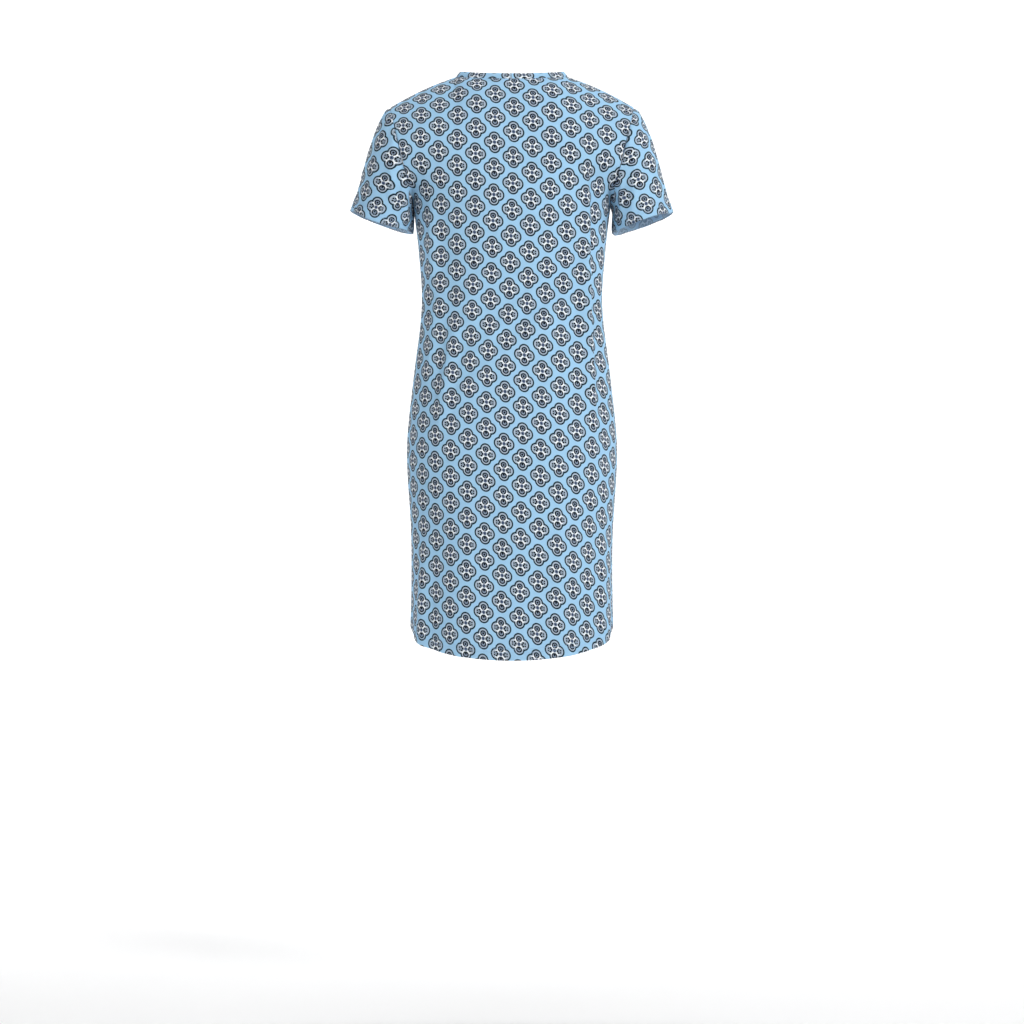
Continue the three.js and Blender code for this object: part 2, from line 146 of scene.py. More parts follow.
def neck_curve(side, shares):
    a = FINE * math.pi / 2
    c = np.maximum(np.cos(a), 0)
    pts = np.stack([NECK_HALF * np.sin(a), side * NECK_REACH[side] * c**1.06,
                    NECK_SIDE_Z - NECK_DROP[side] * c**NECK_FALL[side]], axis=1)
    return by_length(pts, shares)


def shoulder_line(t):
    t = np.asarray(t, float)
    z = NECK_SIDE_Z + (SHOULDER[2] - NECK_SIDE_Z) * t + 0.004 * np.sin(math.pi * t)
    return np.stack([NECK_HALF + (SHOULDER[0] - NECK_HALF) * t, 0 * t, z], axis=-1)


def chest_curve(side, shares):
    end = armhole_point(math.pi / 2, side)
    y = side * (CHEST_DEPTH[side] - (CHEST_DEPTH[side] - abs(end[1])) * FINE**2.5)
    z = -0.134 + (end[2] + 0.134) * FINE**2
    return by_length(np.stack([end[0] * FINE, y, z], axis=1), shares)


def section_sizes(z):
    s = SECTIONS
    i = int(np.clip(np.searchsorted(-s[:, 0], -z, side="left") - 1, 0, len(s) - 2))
    a, b, c, d = s[max(i - 1, 0)], s[i], s[i + 1], s[min(i + 2, len(s) - 1)]
    span = c[0] - b[0]
    t = (z - b[0]) / span
    m1 = (c[1:] - a[1:]) / (c[0] - a[0]) * span
    m2 = (d[1:] - b[1:]) / (d[0] - b[0]) * span
    return hermite(b[1:], m1, c[1:], m2, t)


def section_curve(side, z, shares):
    width, back, front = section_sizes(z)
    depth = back if side < 0 else front
    a = FINE * math.pi / 2
    x = width * np.sin(a)**(2 / POWER)
    y = side * depth * np.maximum(np.cos(a), 0)**(2 / POWER)
    return by_length(np.stack([x, y, np.full_like(x, z)], axis=1), shares)


def hem_z(u):
    return -BACK_LENGTH + HEM_RISE * (0.68 * u**2 + 0.32 * u**6)


def three_way(u, centre, neck, edge):
    lower = ease(u / 0.5)[:, None]
    upper = ease((u - 0.5) / 0.5)[:, None]
    inner = centre + (neck - centre) * lower
    return np.where((u < 0.5)[:, None], inner, neck + (edge - neck) * upper)


# slopes at the centre and at the neck's side: leaving the neck, arriving at the chest; then at the underarm
PANEL_SLOPES = {
    -1: (np.array([[0, -0.072, -0.092], [0, -0.165, -0.022]]),
         np.array([[0, -0.010, -0.118], [0, -0.012, -0.165]]), np.array([0, 0.006, -0.088])),
    1: (np.array([[0, 0.030, -0.052], [0, 0.160, -0.030]]),
        np.array([[0, 0.012, -0.052], [0, 0.014, -0.150]]), np.array([0, 0.002, -0.088])),
}
CHEST_SLOPE = np.array([0, 0, -0.088])


def panel_points(side, us, rows):
    """Grid of the front (side 1) or back (side -1), us from -1 to 1.

    Rows: 0 neck and shoulder, 1 chest, 2 underarm, 3 hem.
    """
    us = np.asarray(us, float)
    au = np.minimum(np.abs(us), 1)
    leave, arrive, low_end = PANEL_SLOPES[side]
    top = np.where((au <= 0.5)[:, None], neck_curve(side, np.minimum(au / 0.5, 1)),
                   shoulder_line(np.clip((au - 0.5) / 0.5, 0, 1)))
    chest = chest_curve(side, au)
    underarm = section_curve(side, UNDERARM[2], au)
    down = -ARM_UP * QUARTER
    out = np.array([0, side * QUARTER, 0])
    m0 = three_way(au, leave[0], leave[1], out)
    m1 = three_way(au, arrive[0], arrive[1], down)
    edge = (au**8)[:, None]
    low0 = CHEST_SLOPE * (1 - edge) + down * edge
    low1 = low_end * (1 - edge) - out * edge
    grid = []
    for row in rows:
        if row <= 1:
            p = hermite(top, m0, chest, m1, row)
        elif row <= 2:
            p = hermite(chest, low0, underarm, low1, row - 1)
        else:
            target = hem_z(au)
            z = UNDERARM[2] + (target - UNDERARM[2]) * (row - 2)
            if row - 2 < 1e-9:
                p = underarm.copy()
            else:
                levels = np.linspace(z.min(), z.max() + 1e-9, 7)
                stack = np.stack([section_curve(side, zz, au) for zz in levels])
                f = np.clip((z - levels[0]) / (levels[-1] - levels[0]) * 6, 0, 5.999)
                k = f.astype(int)
                w = (f - k)[:, None]
                n = np.arange(len(au))
                p = stack[k, n] * (1 - w) + stack[k + 1, n] * w
                p[:, 2] = z
        p[:, 0] *= np.where(us < 0, -1, 1)
        grid.append(p)
    return np.array(grid)


def sleeve_points(angles, rows):
    """Grid of the right sleeve: angle 0 on top, then round the back; row 0 armhole, row 1 hem."""
    angles = np.asarray(angles, float)
    start = armhole_point(angles, -1)
    across = np.array([math.cos(HEM_TILT), 0, math.sin(HEM_TILT)])
    end = HEM_CENTRE + HEM_HALF * np.cos(angles)[:, None] * across
    end[:, 1] -= HEM_DEPTH * np.sin(angles)
    length = np.linalg.norm(end - start, axis=1)[:, None]
    crown = ((1 + np.cos(angles)) / 2)[:, None]
    swell = -0.22 * np.sin(angles)[:, None]
    leave = np.concatenate([0.1 + 0.52 * crown, swell, -0.99 + 0.21 * crown], axis=1)
    arrive = np.concatenate([0.05 + 0.28 * crown, 0 * crown, -0.95 + 0 * crown], axis=1)
    return np.array([hermite(start, leave * length, end, arrive * length, r) for r in rows])


def normals_of(grid, wrap=False):
    """Unit normals of a grid of points, from central differences."""
    if wrap:
        du = np.roll(grid, -1, axis=1) - np.roll(grid, 1, axis=1)
    else:
        du = np.gradient(grid, axis=1)
    dr = np.gradient(grid, axis=0)
    return unit(np.cross(du, dr))


# ---------------------------------------------------------------- grids of the cloth
def panel_rows():
    """Rows of a panel: close together at neck, shoulder and hem, about 6 mm apart elsewhere."""
    upper = np.concatenate([[0, 0.006, 0.014, 0.026], np.linspace(0.045, 1, 27)])
    lower = np.linspace(1, 2, 15)[1:]
    body = 2 + np.concatenate([np.linspace(0, 1, 122)[1:-1], [0.9945, 0.9968, 0.9984, 0.9993, 1.0]])
    return np.concatenate([upper, lower, body])


def panel_columns():
    """Columns of a panel, close together at the side seams and armholes."""
    half = np.concatenate([np.linspace(0, 0.975, 40), [0.984, 0.9905, 0.995, 0.998, 1.0]])
    return np.concatenate([-half[:0:-1], half])


ROWS = panel_rows()
COLS = panel_columns()
COARSE_ROWS = np.concatenate([np.linspace(0, 1, 13), np.linspace(1, 2, 9)[1:], np.linspace(2, 3, 63)[1:]])
COARSE_COLS = np.linspace(-1, 1, 53)


def armhole_angle(row):
    """Angle round the armhole that a panel's edge reaches at a row from 0 to 2."""
    row = np.asarray(row, float)
    t = np.where(row <= 1, row, row - 1)
    angle = np.arctan2(hermite(0, QUARTER_SLOPE, 1, 0, t), hermite(1, 0, 0, -QUARTER_SLOPE, t))
    return np.where(row <= 1, angle, angle + math.pi / 2)


SLEEVE_STEPS = np.concatenate([np.linspace(0, 1, 15), np.linspace(1, 2, 13)[1:]])
SLEEVE_TURN = np.concatenate([SLEEVE_STEPS, 4 - SLEEVE_STEPS[-2:0:-1]])
COARSE_TURN = np.concatenate([COARSE_ROWS[:21], 4 - COARSE_ROWS[19:0:-1]])


def turn_angle(turn):
    """Angle round the sleeve for a turn: 0 on top, 1 back, 2 underarm, 3 front, 4 on top again."""
    turn = np.asarray(turn, float)
    back = armhole_angle(np.minimum(turn, 2))
    front = 2 * math.pi - armhole_angle(np.clip(4 - turn, 0, 2))
    return np.where(turn <= 2, back, front)


SLEEVE_FINE_TURN = np.interp(np.linspace(0, 4, 113)[:-1] / 4 * len(SLEEVE_TURN),
                             np.arange(len(SLEEVE_TURN) + 1), np.append(SLEEVE_TURN, 4))
SLEEVE_ROWS = np.concatenate([[0, 0.004, 0.010, 0.018, 0.030], np.linspace(0.05, 0.95, 28),
                              [0.965, 0.98, 0.988, 0.993, 0.997, 1.0]])
COARSE_SLEEVE_ROWS = np.linspace(0, 1, 17)


def mirrored(grid):
    out = grid.copy()
    out[..., 0] *= -1
    return out


def read_between(field, ri, ci, wrap=False):
    """Smooth reading of a coarse field at fractional rows ri and columns ci (cubic)."""
    def taps(x, n, around):
        k = np.floor(x).astype(int)
        if not around:
            k = np.clip(k, 0, n - 2)
        t = x - k
        w = np.stack([-0.5 * t + t**2 - 0.5 * t**3, 1 - 2.5 * t**2 + 1.5 * t**3,
                      0.5 * t + 2 * t**2 - 1.5 * t**3, -0.5 * t**2 + 0.5 * t**3])
        ids = np.stack([k - 1, k, k + 1, k + 2])
        ids = ids % n if around else np.clip(ids, 0, n - 1)
        return ids, w
    rid, rw = taps(ri, field.shape[0], False)
    cid, cw = taps(ci, field.shape[1], wrap)
    rows = sum(rw[i][:, None, None] * field[rid[i]] for i in range(4))
    return sum(cw[j][None, :, None] * rows[:, cid[j]] for j in range(4))


# ---------------------------------------------------------------- folds of the hanging cloth
def ridge(x, z, path, width, height):
    """A soft fold along a path of (x, z) points, fading out at both ends. Positive heights stand out."""
    path = np.asarray(path, float)
    zs, xs = path[::-1, 1], path[::-1, 0]
    centre = np.interp(z, zs, xs)
    share = np.clip((z - zs[0]) / (zs[-1] - zs[0]), 0, 1)
    fade = np.sin(math.pi * share)**0.8 * ((z > zs[0]) & (z < zs[-1]))
    d = (x - centre) / width
    off = height * fade * (np.exp(-d**2) - 0.45 * np.exp(-((d - 1.5)**2)) - 0.25 * np.exp(-((d + 1.5)**2)))
    return off, fade * np.exp(-(d / 0.8)**2)


BACK_FOLDS = [
    ([(0.112, -0.110), (0.115, -0.260), (0.118, -0.400), (0.131, -0.600)], 0.0095, 0.0080, 0.0070),
    ([(0.092, -0.150), (0.097, -0.270), (0.094, -0.420)], 0.012, 0.0026, 0.0),
    ([(-0.131, -0.205), (-0.130, -0.290), (-0.127, -0.380)], 0.009, 0.0058, -0.0025),
    ([(-0.090, -0.400), (-0.104, -0.490), (-0.120, -0.600)], 0.010, 0.0054, -0.0015),
    ([(-0.112, -0.330), (-0.128, -0.420), (-0.140, -0.520)], 0.009, 0.0050, 0.0),
    ([(-0.140, -0.760), (-0.146, -0.860), (-0.150, -0.975)], 0.008, 0.0056, -0.0020),
    ([(0.146, -0.740), (0.150, -0.840), (0.152, -0.960)], 0.009, 0.0036, 0.0),
    ([(-0.060, -0.300), (-0.070, -0.385), (-0.066, -0.470)], 0.018, 0.0018, 0.0),
    ([(0.040, -0.330), (0.052, -0.410), (0.060, -0.500)], 0.020, 0.0018, 0.0),
    ([(0.070, -0.660), (0.078, -0.800), (0.082, -0.985)], 0.024, 0.0028, 0.0),
    ([(-0.072, -0.680), (-0.078, -0.820), (-0.080, -0.985)], 0.026, 0.0026, 0.0),
    ([(-0.004, -0.640), (0.004, -0.800), (0.006, -0.990)], 0.024, 0.0020, 0.0),
]
FRONT_FOLDS = [
    ([(-0.118, -0.150), (-0.106, -0.280), (-0.110, -0.430)], 0.012, 0.0036, 0.0),
    ([(0.120, -0.150), (0.110, -0.270), (0.116, -0.440)], 0.012, 0.0036, 0.0),
    ([(-0.060, -0.120), (-0.040, -0.210), (-0.046, -0.320)], 0.016, 0.0016, 0.0),
    ([(0.064, -0.120), (0.046, -0.220), (0.050, -0.330)], 0.016, 0.0016, 0.0),
    ([(0.020, -0.300), (0.034, -0.420), (0.030, -0.560)], 0.020, 0.0024, 0.0),
    ([(-0.080, -0.380), (-0.092, -0.520), (-0.088, -0.680)], 0.020, 0.0028, 0.0),
    ([(-0.030, -0.560), (-0.036, -0.760), (-0.040, -0.985)], 0.026, 0.0036, 0.0),
    ([(0.056, -0.600), (0.066, -0.780), (0.070, -0.985)], 0.026, 0.0038, 0.0),
    ([(-0.112, -0.620), (-0.122, -0.800), (-0.126, -0.970)], 0.018, 0.0036, 0.0),
    ([(0.126, -0.600), (0.134, -0.780), (0.138, -0.965)], 0.018, 0.0036, 0.0),
]


def panel_folds(side, grid, rows, cols):
    """How far the cloth of a panel stands off its smooth shape."""
    x, z = grid[..., 0], grid[..., 2]
    off = np.zeros(x.shape)
    lean = np.zeros(x.shape)
    for path, width, height, tip in (BACK_FOLDS if side < 0 else FRONT_FOLDS):
        stand, crest = ridge(x, z, path, width, height)
        off += stand
        lean += tip * crest
    u = np.abs(cols)[None, :]
    r = rows[:, None]
    # short puckers where the armhole seam takes up the cloth
    near = np.exp(-((1 - u) * 0.19 / 0.014)) * ((r > 0.10) & (r < 1.96))
    off += 0.0008 * near * np.sin(r * 44 + 2.2 * np.sin(r * 9 + side)) * ease((r - 0.1) / 0.2)
    # slight waves along the hem, which lies a little stiffer than the cloth
    low = ease((r - 2.955) / 0.03)
    off += low * (0.0010 * np.sin(u * 21 + side) + 0.0007 * np.sin(u * 47 + 2))
    return off, lean


def sleeve_folds(rows, turns, mark):
    """How far the cloth of a sleeve stands off its smooth shape: gathers at the crown and soft folds."""
    r = rows[:, None]
    t = turns[None, :]
    gather = np.exp(-r * 0.19 / 0.030)
    off = 0.0020 * gather * (1 + np.sin(t * 26 + 1.7 * np.sin(t * 5 + mark))) * ease(r / 0.05)
    for centre, lean, width, height in ((1.0, 0.5, 0.13, 0.0046), (1.42, 0.3, 0.10, 0.0040),
                                        (0.55, 0.25, 0.17, 0.0028), (3.0, -0.45, 0.15, 0.0040),
                                        (3.5, -0.2, 0.2, 0.0016)):
        d = (t - centre - lean * (r - 0.4) + 0.05 * mark) / width
        off += height * np.exp(-d**2) * np.sin(math.pi * np.clip(r * 1.1, 0, 1))
    off += 0.0009 * ease((r - 0.86) / 0.06) * np.sin(t * 7 + mark * 2)
    return off


# ---------------------------------------------------------------- cloth simulation
def welded(grids):
    """Joins grids of points at their shared seams. grids is a list of (points, wrap)."""
    points, faces, places, seen = [], [], [], {}
    for grid, wrap in grids:
        ids = np.zeros(grid.shape[:2], int)
        for i in range(grid.shape[0]):
            for j in range(grid.shape[1]):
                key = tuple(np.round(grid[i, j] * 1e4).astype(int))
                if key not in seen:
                    seen[key] = len(points)
                    points.append(grid[i, j])
                ids[i, j] = seen[key]
        places.append(ids)
        n = grid.shape[1]
        for i in range(grid.shape[0] - 1):
            for j in range(n if wrap else n - 1):
                k = (j + 1) % n
                quad = [ids[i, j], ids[i + 1, j], ids[i + 1, k], ids[i, k]]
                loop = [int(q) for m, q in enumerate(quad) if q != quad[m - 1]]
                if len(set(loop)) == len(loop) and len(loop) > 2:
                    faces.append(loop)
    return np.array(points), faces, places


def plain_object(name, points, faces):
    mesh = bpy.data.meshes.new(name)
    mesh.from_pydata([tuple(p) for p in points], [], faces)
    mesh.update()
    made = bpy.data.objects.new(name, mesh)
    bpy.context.scene.collection.objects.link(made)
    return made


# how far the hidden figure lies inside the gown, by height: at the back, in front, and more at the sides
FORM_HEIGHTS = [-1.0, -0.86, -0.70, -0.60, -0.50, -0.38, -0.27, -0.16, -0.08, 0.0]
FORM_TAKE = {-1: [0.030, 0.022, 0.010, 0.003, 0.008, 0.020, 0.012, 0.004, 0.002, 0.002],
             1: [0.030, 0.024, 0.018, 0.014, 0.012, 0.014, 0.012, 0.004, 0.002, 0.002]}
FORM_SIDES = [0.012, 0.012, 0.006, 0.003, 0.006, 0.012, 0.010, 0.004, 0, 0]
FORM_ROOM = 0.0025


def dress_form():
    """Hidden figure that the gown hangs on: the gown's own shape, taken in where a body is slimmer."""
    made = []
    for side in (-1, 1):
        rows = np.concatenate([np.linspace(0, 1, 13), np.linspace(1, 2, 9)[1:], np.linspace(2, 2.9, 40)[1:]])
        grid = panel_points(side, COARSE_COLS, rows)
        n = normals_of(grid) * side
        z = grid[..., 2]
        take = np.interp(z, FORM_HEIGHTS, FORM_TAKE[side])
        take = take + np.abs(n[..., 0]) * np.interp(z, FORM_HEIGHTS, FORM_SIDES)
        made.append(grid - n * (take + FORM_ROOM)[..., None])
    return made


DRAPE_FRAMES = 34
LONGEST_MOVE = 0.016
PIN_ROWS = 0.35


def drape():
    """Lets the sewn gown hang on the form and returns how far each coarse point moved."""
    back = panel_points(-1, COARSE_COLS, COARSE_ROWS)
    front = panel_points(1, COARSE_COLS, COARSE_ROWS)
    right = sleeve_points(turn_angle(COARSE_TURN), COARSE_SLEEVE_ROWS)
    for k, turn in enumerate(COARSE_TURN):
        panel = back if turn <= 2 else front
        right[0, k] = panel[int(np.argmin(np.abs(COARSE_ROWS - min(turn, 4 - turn)))), -1]
    left = mirrored(right)
    points, faces, places = welded([(back, False), (front, False), (right, True), (left, True)])
    gown = plain_object("gown_on_form", points, faces)
    bpy.context.view_layer.objects.active = gown
    pins = gown.vertex_groups.new(name="pins")
    for ids in places[:2]:
        for i, row in enumerate(COARSE_ROWS):
            if row > PIN_ROWS:
                break
            for j in range(ids.shape[1]):
                held = 1.0 if (i == 0) else max(0.0, 0.6 * (1 - row / PIN_ROWS))
                pins.add([int(ids[i, j])], held, "REPLACE")
    form_points, form_faces, _ = welded([(g, False) for g in dress_form()])
    form = plain_object("form", form_points, form_faces)
    arms = []
    for sign in (1, -1):
        arm = sleeve_points(turn_angle(COARSE_TURN), np.linspace(0.0, 1.0, 12))
        centre = arm.mean(axis=1, keepdims=True)
        shrink = np.linspace(0.93, 0.66, 12)[:, None, None]
        arm = centre + (arm - centre) * shrink
        if sign < 0:
            arm = mirrored(arm)
        p, f, _ = welded([(arm, True)])
        arms.append(plain_object("arm_form", p, f))
    for shape in [form, *arms]:
        shape.modifiers.new("touch", "COLLISION")
        shape.collision.thickness_outer = 0.002
        shape.collision.thickness_inner = 0.02
        shape.collision.cloth_friction = 12
    cloth = gown.modifiers.new("jersey", "CLOTH")
    s = cloth.settings
    s.quality = 7
    s.mass = 0.02
    s.air_damping = 2
    s.tension_stiffness = 14
    s.compression_stiffness = 8
    s.shear_stiffness = 3
    s.bending_stiffness = 0.02
    s.tension_damping = 8
    s.compression_damping = 8
    s.shear_damping = 8
    s.bending_damping = 0.5
    s.shrink_min = -0.018
    s.vertex_group_mass = "pins"
    s.pin_stiffness = 3
    c = cloth.collision_settings
    c.distance_min = 0.002
    c.use_self_collision = False
    c.collision_quality = 3
    scene = bpy.context.scene
    cloth.point_cache.frame_start = 1
    cloth.point_cache.frame_end = DRAPE_FRAMES
    scene.frame_start, scene.frame_end = 1, DRAPE_FRAMES
    for number in range(1, DRAPE_FRAMES + 1):
        scene.frame_set(number)
    shape = gown.evaluated_get(bpy.context.evaluated_depsgraph_get())
    moved = np.array([v.co for v in shape.data.vertices]) - points
    scene.frame_set(1)
    for thing in [gown, form, *arms]:
        bpy.data.objects.remove(thing, do_unlink=True)
    size = np.linalg.norm(moved, axis=1, keepdims=True)
    moved = moved * np.where(size > LONGEST_MOVE, LONGEST_MOVE / np.maximum(size, 1e-9), 1)
    return [moved[ids] for ids in places]


# ---------------------------------------------------------------- finished cloth surfaces
CLOTH = {}
# share of the simulated move that the panels take: sideways, in depth, in height
PANEL_SHARE = np.array([0.22, 0.75, 0.22])
SLEEVE_SHARE = 0.5
SHOULDER_ROLL = 0.0016
SIDE_ROLL = 0.0024
ARMHOLE_ROLL = 0.0026
HEM_ROLL = 0.0014


def edge_roll(distance, radius):
    """How far a sewn or folded edge turns in, at a distance from the edge."""
    d = np.clip(1 - distance / radius, 0, 1)
    return radius * (1 - np.sqrt(np.maximum(1 - d**2, 0)))


def flat_x(grid, rows):
    """Distance across the cut panel from its centre line."""
    steps = np.linalg.norm(np.diff(grid, axis=1), axis=2)
    run = np.concatenate([np.zeros((len(rows), 1)), np.cumsum(steps, axis=1)], axis=1)
    middle = grid.shape[1] // 2
    run = run - run[:, middle:middle + 1]
    chest = int(np.argmin(np.abs(rows - 1)))
    stretch = run[chest] / np.where(np.abs(grid[chest, :, 0]) < 1e-6, 1, grid[chest, :, 0])
    stretch[middle] = 1
    upper = grid[..., 0] * stretch
    share = ease((rows - 0.8) / 0.5)[:, None]
    return upper * (1 - share) + run * share


def flat_z(grid, rows):
    """Height on the cut panel: true height below the chest, length along the cloth above it."""
    chest = int(np.argmin(np.abs(rows - 1)))
    v = grid[..., 2].copy()
    step = np.linalg.norm(np.diff(grid[..., 1:], axis=0), axis=2)
    for i in range(chest - 1, -1, -1):
        v[i] = v[i + 1] + step[i]
    return v


def sleeve_flat(base):
    """Unrolls the sleeve round its own axis: distance round it and height along it."""
    across = np.array([math.cos(HEM_TILT), 0, math.sin(HEM_TILT)])
    axis = np.array([math.sin(HEM_TILT), 0, -math.cos(HEM_TILT)])
    rel = base - HEM_CENTRE
    angle = np.arctan2(-rel[..., 1] / HEM_DEPTH, (rel @ across) / HEM_HALF)
    steps = np.linspace(-math.pi, math.pi, 721)
    ring = np.stack([HEM_HALF * np.cos(steps), HEM_DEPTH * np.sin(steps)], axis=1)
    run = run_along(ring)
    around = np.interp(angle, steps, run - run[len(run) // 2])
    return np.stack([around, -(rel @ axis)], axis=-1)


def finish_cloth():
    """Works out the final surface of every panel and sleeve."""
    moves = drape()
    for part, side in (("back", -1), ("front", 1)):
        base = panel_points(side, COLS, ROWS)
        grid = base.copy()
        if moves is not None:
            ri = np.interp(ROWS, COARSE_ROWS, np.arange(len(COARSE_ROWS)))
            ci = np.interp(COLS, COARSE_COLS, np.arange(len(COARSE_COLS)))
            sag = read_between(moves[0 if side < 0 else 1], ri, ci)
            held = 1 - ease((np.abs(COLS) - 0.55) / 0.35)
            free = ease(ROWS / 0.45)[:, None] * held
            grid = grid + sag * PANEL_SHARE * free[..., None]
        n = normals_of(grid) * side
        u = np.abs(COLS)[None, :] * np.ones((len(ROWS), 1))
        seam = edge_roll((1 - u) * 0.19, SIDE_ROLL)
        shoulder = edge_roll(ROWS[:, None] * 0.15, SHOULDER_ROLL)
        hem = edge_roll((3 - ROWS)[:, None] * BODY_DROP, HEM_ROLL)
        turned = np.maximum(np.maximum(seam, shoulder), hem)
        off, lean = panel_folds(side, base, ROWS, COLS)
        calm = np.clip((1 - u) / 0.03, 0, 1) * np.clip(ROWS[:, None] / 0.1, 0, 1)
        grid = grid + n * (off * calm - turned)[..., None]
        grid[..., 0] += lean * calm
        folded = base + normals_of(base) * (side * off * calm)[..., None]
        folded[..., 0] += lean * calm
        CLOTH[part] = dict(P=grid, N=normals_of(grid) * side, rows=ROWS, cols=COLS,
                           flat=np.stack([flat_x(folded, ROWS), flat_z(base, ROWS)], axis=-1))
    for part, sign, k in (("right", 1, 2), ("left", -1, 3)):
        base = sleeve_points(turn_angle(SLEEVE_FINE_TURN), SLEEVE_ROWS)
        grid = base if sign > 0 else mirrored(base)
        if moves is not None:
            ri = np.interp(SLEEVE_ROWS, COARSE_SLEEVE_ROWS, np.arange(len(COARSE_SLEEVE_ROWS)))
            ci = np.interp(SLEEVE_FINE_TURN, np.append(COARSE_TURN, 4), np.arange(len(COARSE_TURN) + 1))
            sag = read_between(moves[k], ri, ci, wrap=True)
            sag[..., 0] *= 0.35
            grid = grid + sag * SLEEVE_SHARE * ease(SLEEVE_ROWS / 0.4)[:, None, None]
        n = normals_of(grid, wrap=True) * sign
        armhole = edge_roll(SLEEVE_ROWS[:, None] * 0.15, ARMHOLE_ROLL)
        hem = edge_roll((1 - SLEEVE_ROWS)[:, None] * 0.15, HEM_ROLL)
        off = sleeve_folds(SLEEVE_ROWS, SLEEVE_FINE_TURN, sign)
        grid = grid + n * (off - np.maximum(armhole, hem))[..., None]
        flat = sleeve_flat(base)
        flat[..., 0] *= -sign
        CLOTH[part] = dict(P=grid, N=normals_of(grid, wrap=True) * sign, rows=SLEEVE_ROWS,
                           cols=SLEEVE_FINE_TURN, flat=flat, wrap=True)


def on_cloth(part, row, col, depth=0.0):
    """Point and outward normal on a finished surface, depth metres under its outside."""
    c = CLOTH[part]
    ri = float(np.interp(row, c["rows"], np.arange(len(c["rows"]))))
    if c.get("wrap"):
        n = len(c["cols"])
        ci = float(np.interp(col % 4, np.append(c["cols"], 4), np.arange(n + 1)))
    else:
        n = None
        ci = float(np.interp(col, c["cols"], np.arange(len(c["cols"]))))
    i, j = min(int(ri), len(c["rows"]) - 2), int(ci)
    if n is None:
        j = min(j, len(c["cols"]) - 2)
    a, b = ri - i, ci - j
    k = (j + 1) % n if n else j + 1
    j = j % n if n else j

    def mix(f):
        return (f[i, j] * (1 - b) + f[i, k] * b) * (1 - a) + (f[i + 1, j] * (1 - b) + f[i + 1, k] * b) * a
    normal = unit(mix(c["N"]))
    return mix(c["P"]) - normal * depth, normal


def split(spots):
    """Points and normals of a list of (point, normal), as two arrays."""
    return (np.array(values) for values in zip(*spots))


# ---------------------------------------------------------------- mesh makers
def sheet_mesh(name, outer, inner, flats, wrap=False):
    """Closed cloth mesh between an outer and an inner grid, with the cut's coordinates as UV maps."""
    rows, cols = outer.shape[:2]
    count = rows * cols
    points = np.concatenate([outer.reshape(-1, 3), inner.reshape(-1, 3)])
    i, j = np.meshgrid(np.arange(rows - 1), np.arange(cols if wrap else cols - 1), indexing="ij")
    k = (j + 1) % cols
    a, b, c, d = i * cols + j, (i + 1) * cols + j, (i + 1) * cols + k, i * cols + k
    face = np.stack([a, b, c, d], axis=-1).reshape(-1, 4)
    back = face[:, ::-1] + count
    rims = []
    span = np.arange(cols if wrap else cols - 1)
    nxt = (span + 1) % cols
    rims.append(np.stack([span, nxt, nxt + count, span + count], axis=1))
    base = (rows - 1) * cols
    rims.append(np.stack([base + nxt, base + span, base + span + count, base + nxt + count], axis=1))
    if not wrap:
        tall = np.arange(rows - 1) * cols
        rims.append(np.stack([tall + cols, tall, tall + count, tall + cols + count], axis=1))
        end = tall + cols - 1
        rims.append(np.stack([end, end + cols, end + cols + count, end + count], axis=1))
    rim = np.concatenate(rims)
    faces = np.concatenate([face, back, rim])
    made = plain_object(name, points, faces.tolist())
    mesh = made.data
    # outward faces: compare one outer face with its surface direction
    p = points
    f = faces[(rows // 2) * (cols - 1 if not wrap else cols) + (cols // 4)]
    normal = np.cross(p[f[1]] - p[f[0]], p[f[2]] - p[f[0]])
    mid = int(f[0])
    if np.dot(normal, p[mid] - p[mid + count]) < 0:
        mesh.flip_normals()
    for key, flat in flats.items():
        layer = mesh.uv_layers.new(name=key)
        both = np.concatenate([flat.reshape(-1, 2), flat.reshape(-1, 2)])
        ids = np.zeros(len(mesh.loops), int)
        mesh.loops.foreach_get("vertex_index", ids)
        uv = both[ids]
        layer.data.foreach_set("uv", uv.astype(np.float32).ravel())
    index = np.zeros(len(faces), int)
    index[len(face):len(face) * 2] = 1
    mesh.polygons.foreach_set("material_index", index)
    mesh.polygons.foreach_set("use_smooth", [True] * len(faces))
    return made


def ribbon_mesh(name, points, outward, across, half, thick):
    """Strip of tape or turned cloth along a line; its outside lies on the line."""
    points, outward, across = (np.asarray(a, float) for a in (points, outward, across))
    shares = np.linspace(-1, 1, 9)
    lift = (thick * 0.35 * (1 - np.sqrt(np.maximum(1 - np.abs(shares)**6, 0))))[None, :, None]
    spread = points[:, None] + across[:, None] * (shares * half)[None, :, None]
    outer = spread - outward[:, None] * lift
    inner = spread - outward[:, None] * (thick - lift)
    flat = np.stack(np.meshgrid(shares * half, run_along(points)), axis=-1)
    return sheet_mesh(name, outer, inner, {"cut": flat, "print": flat})


THREAD_SIDES = 5
THREAD_RADIUS = 0.00022


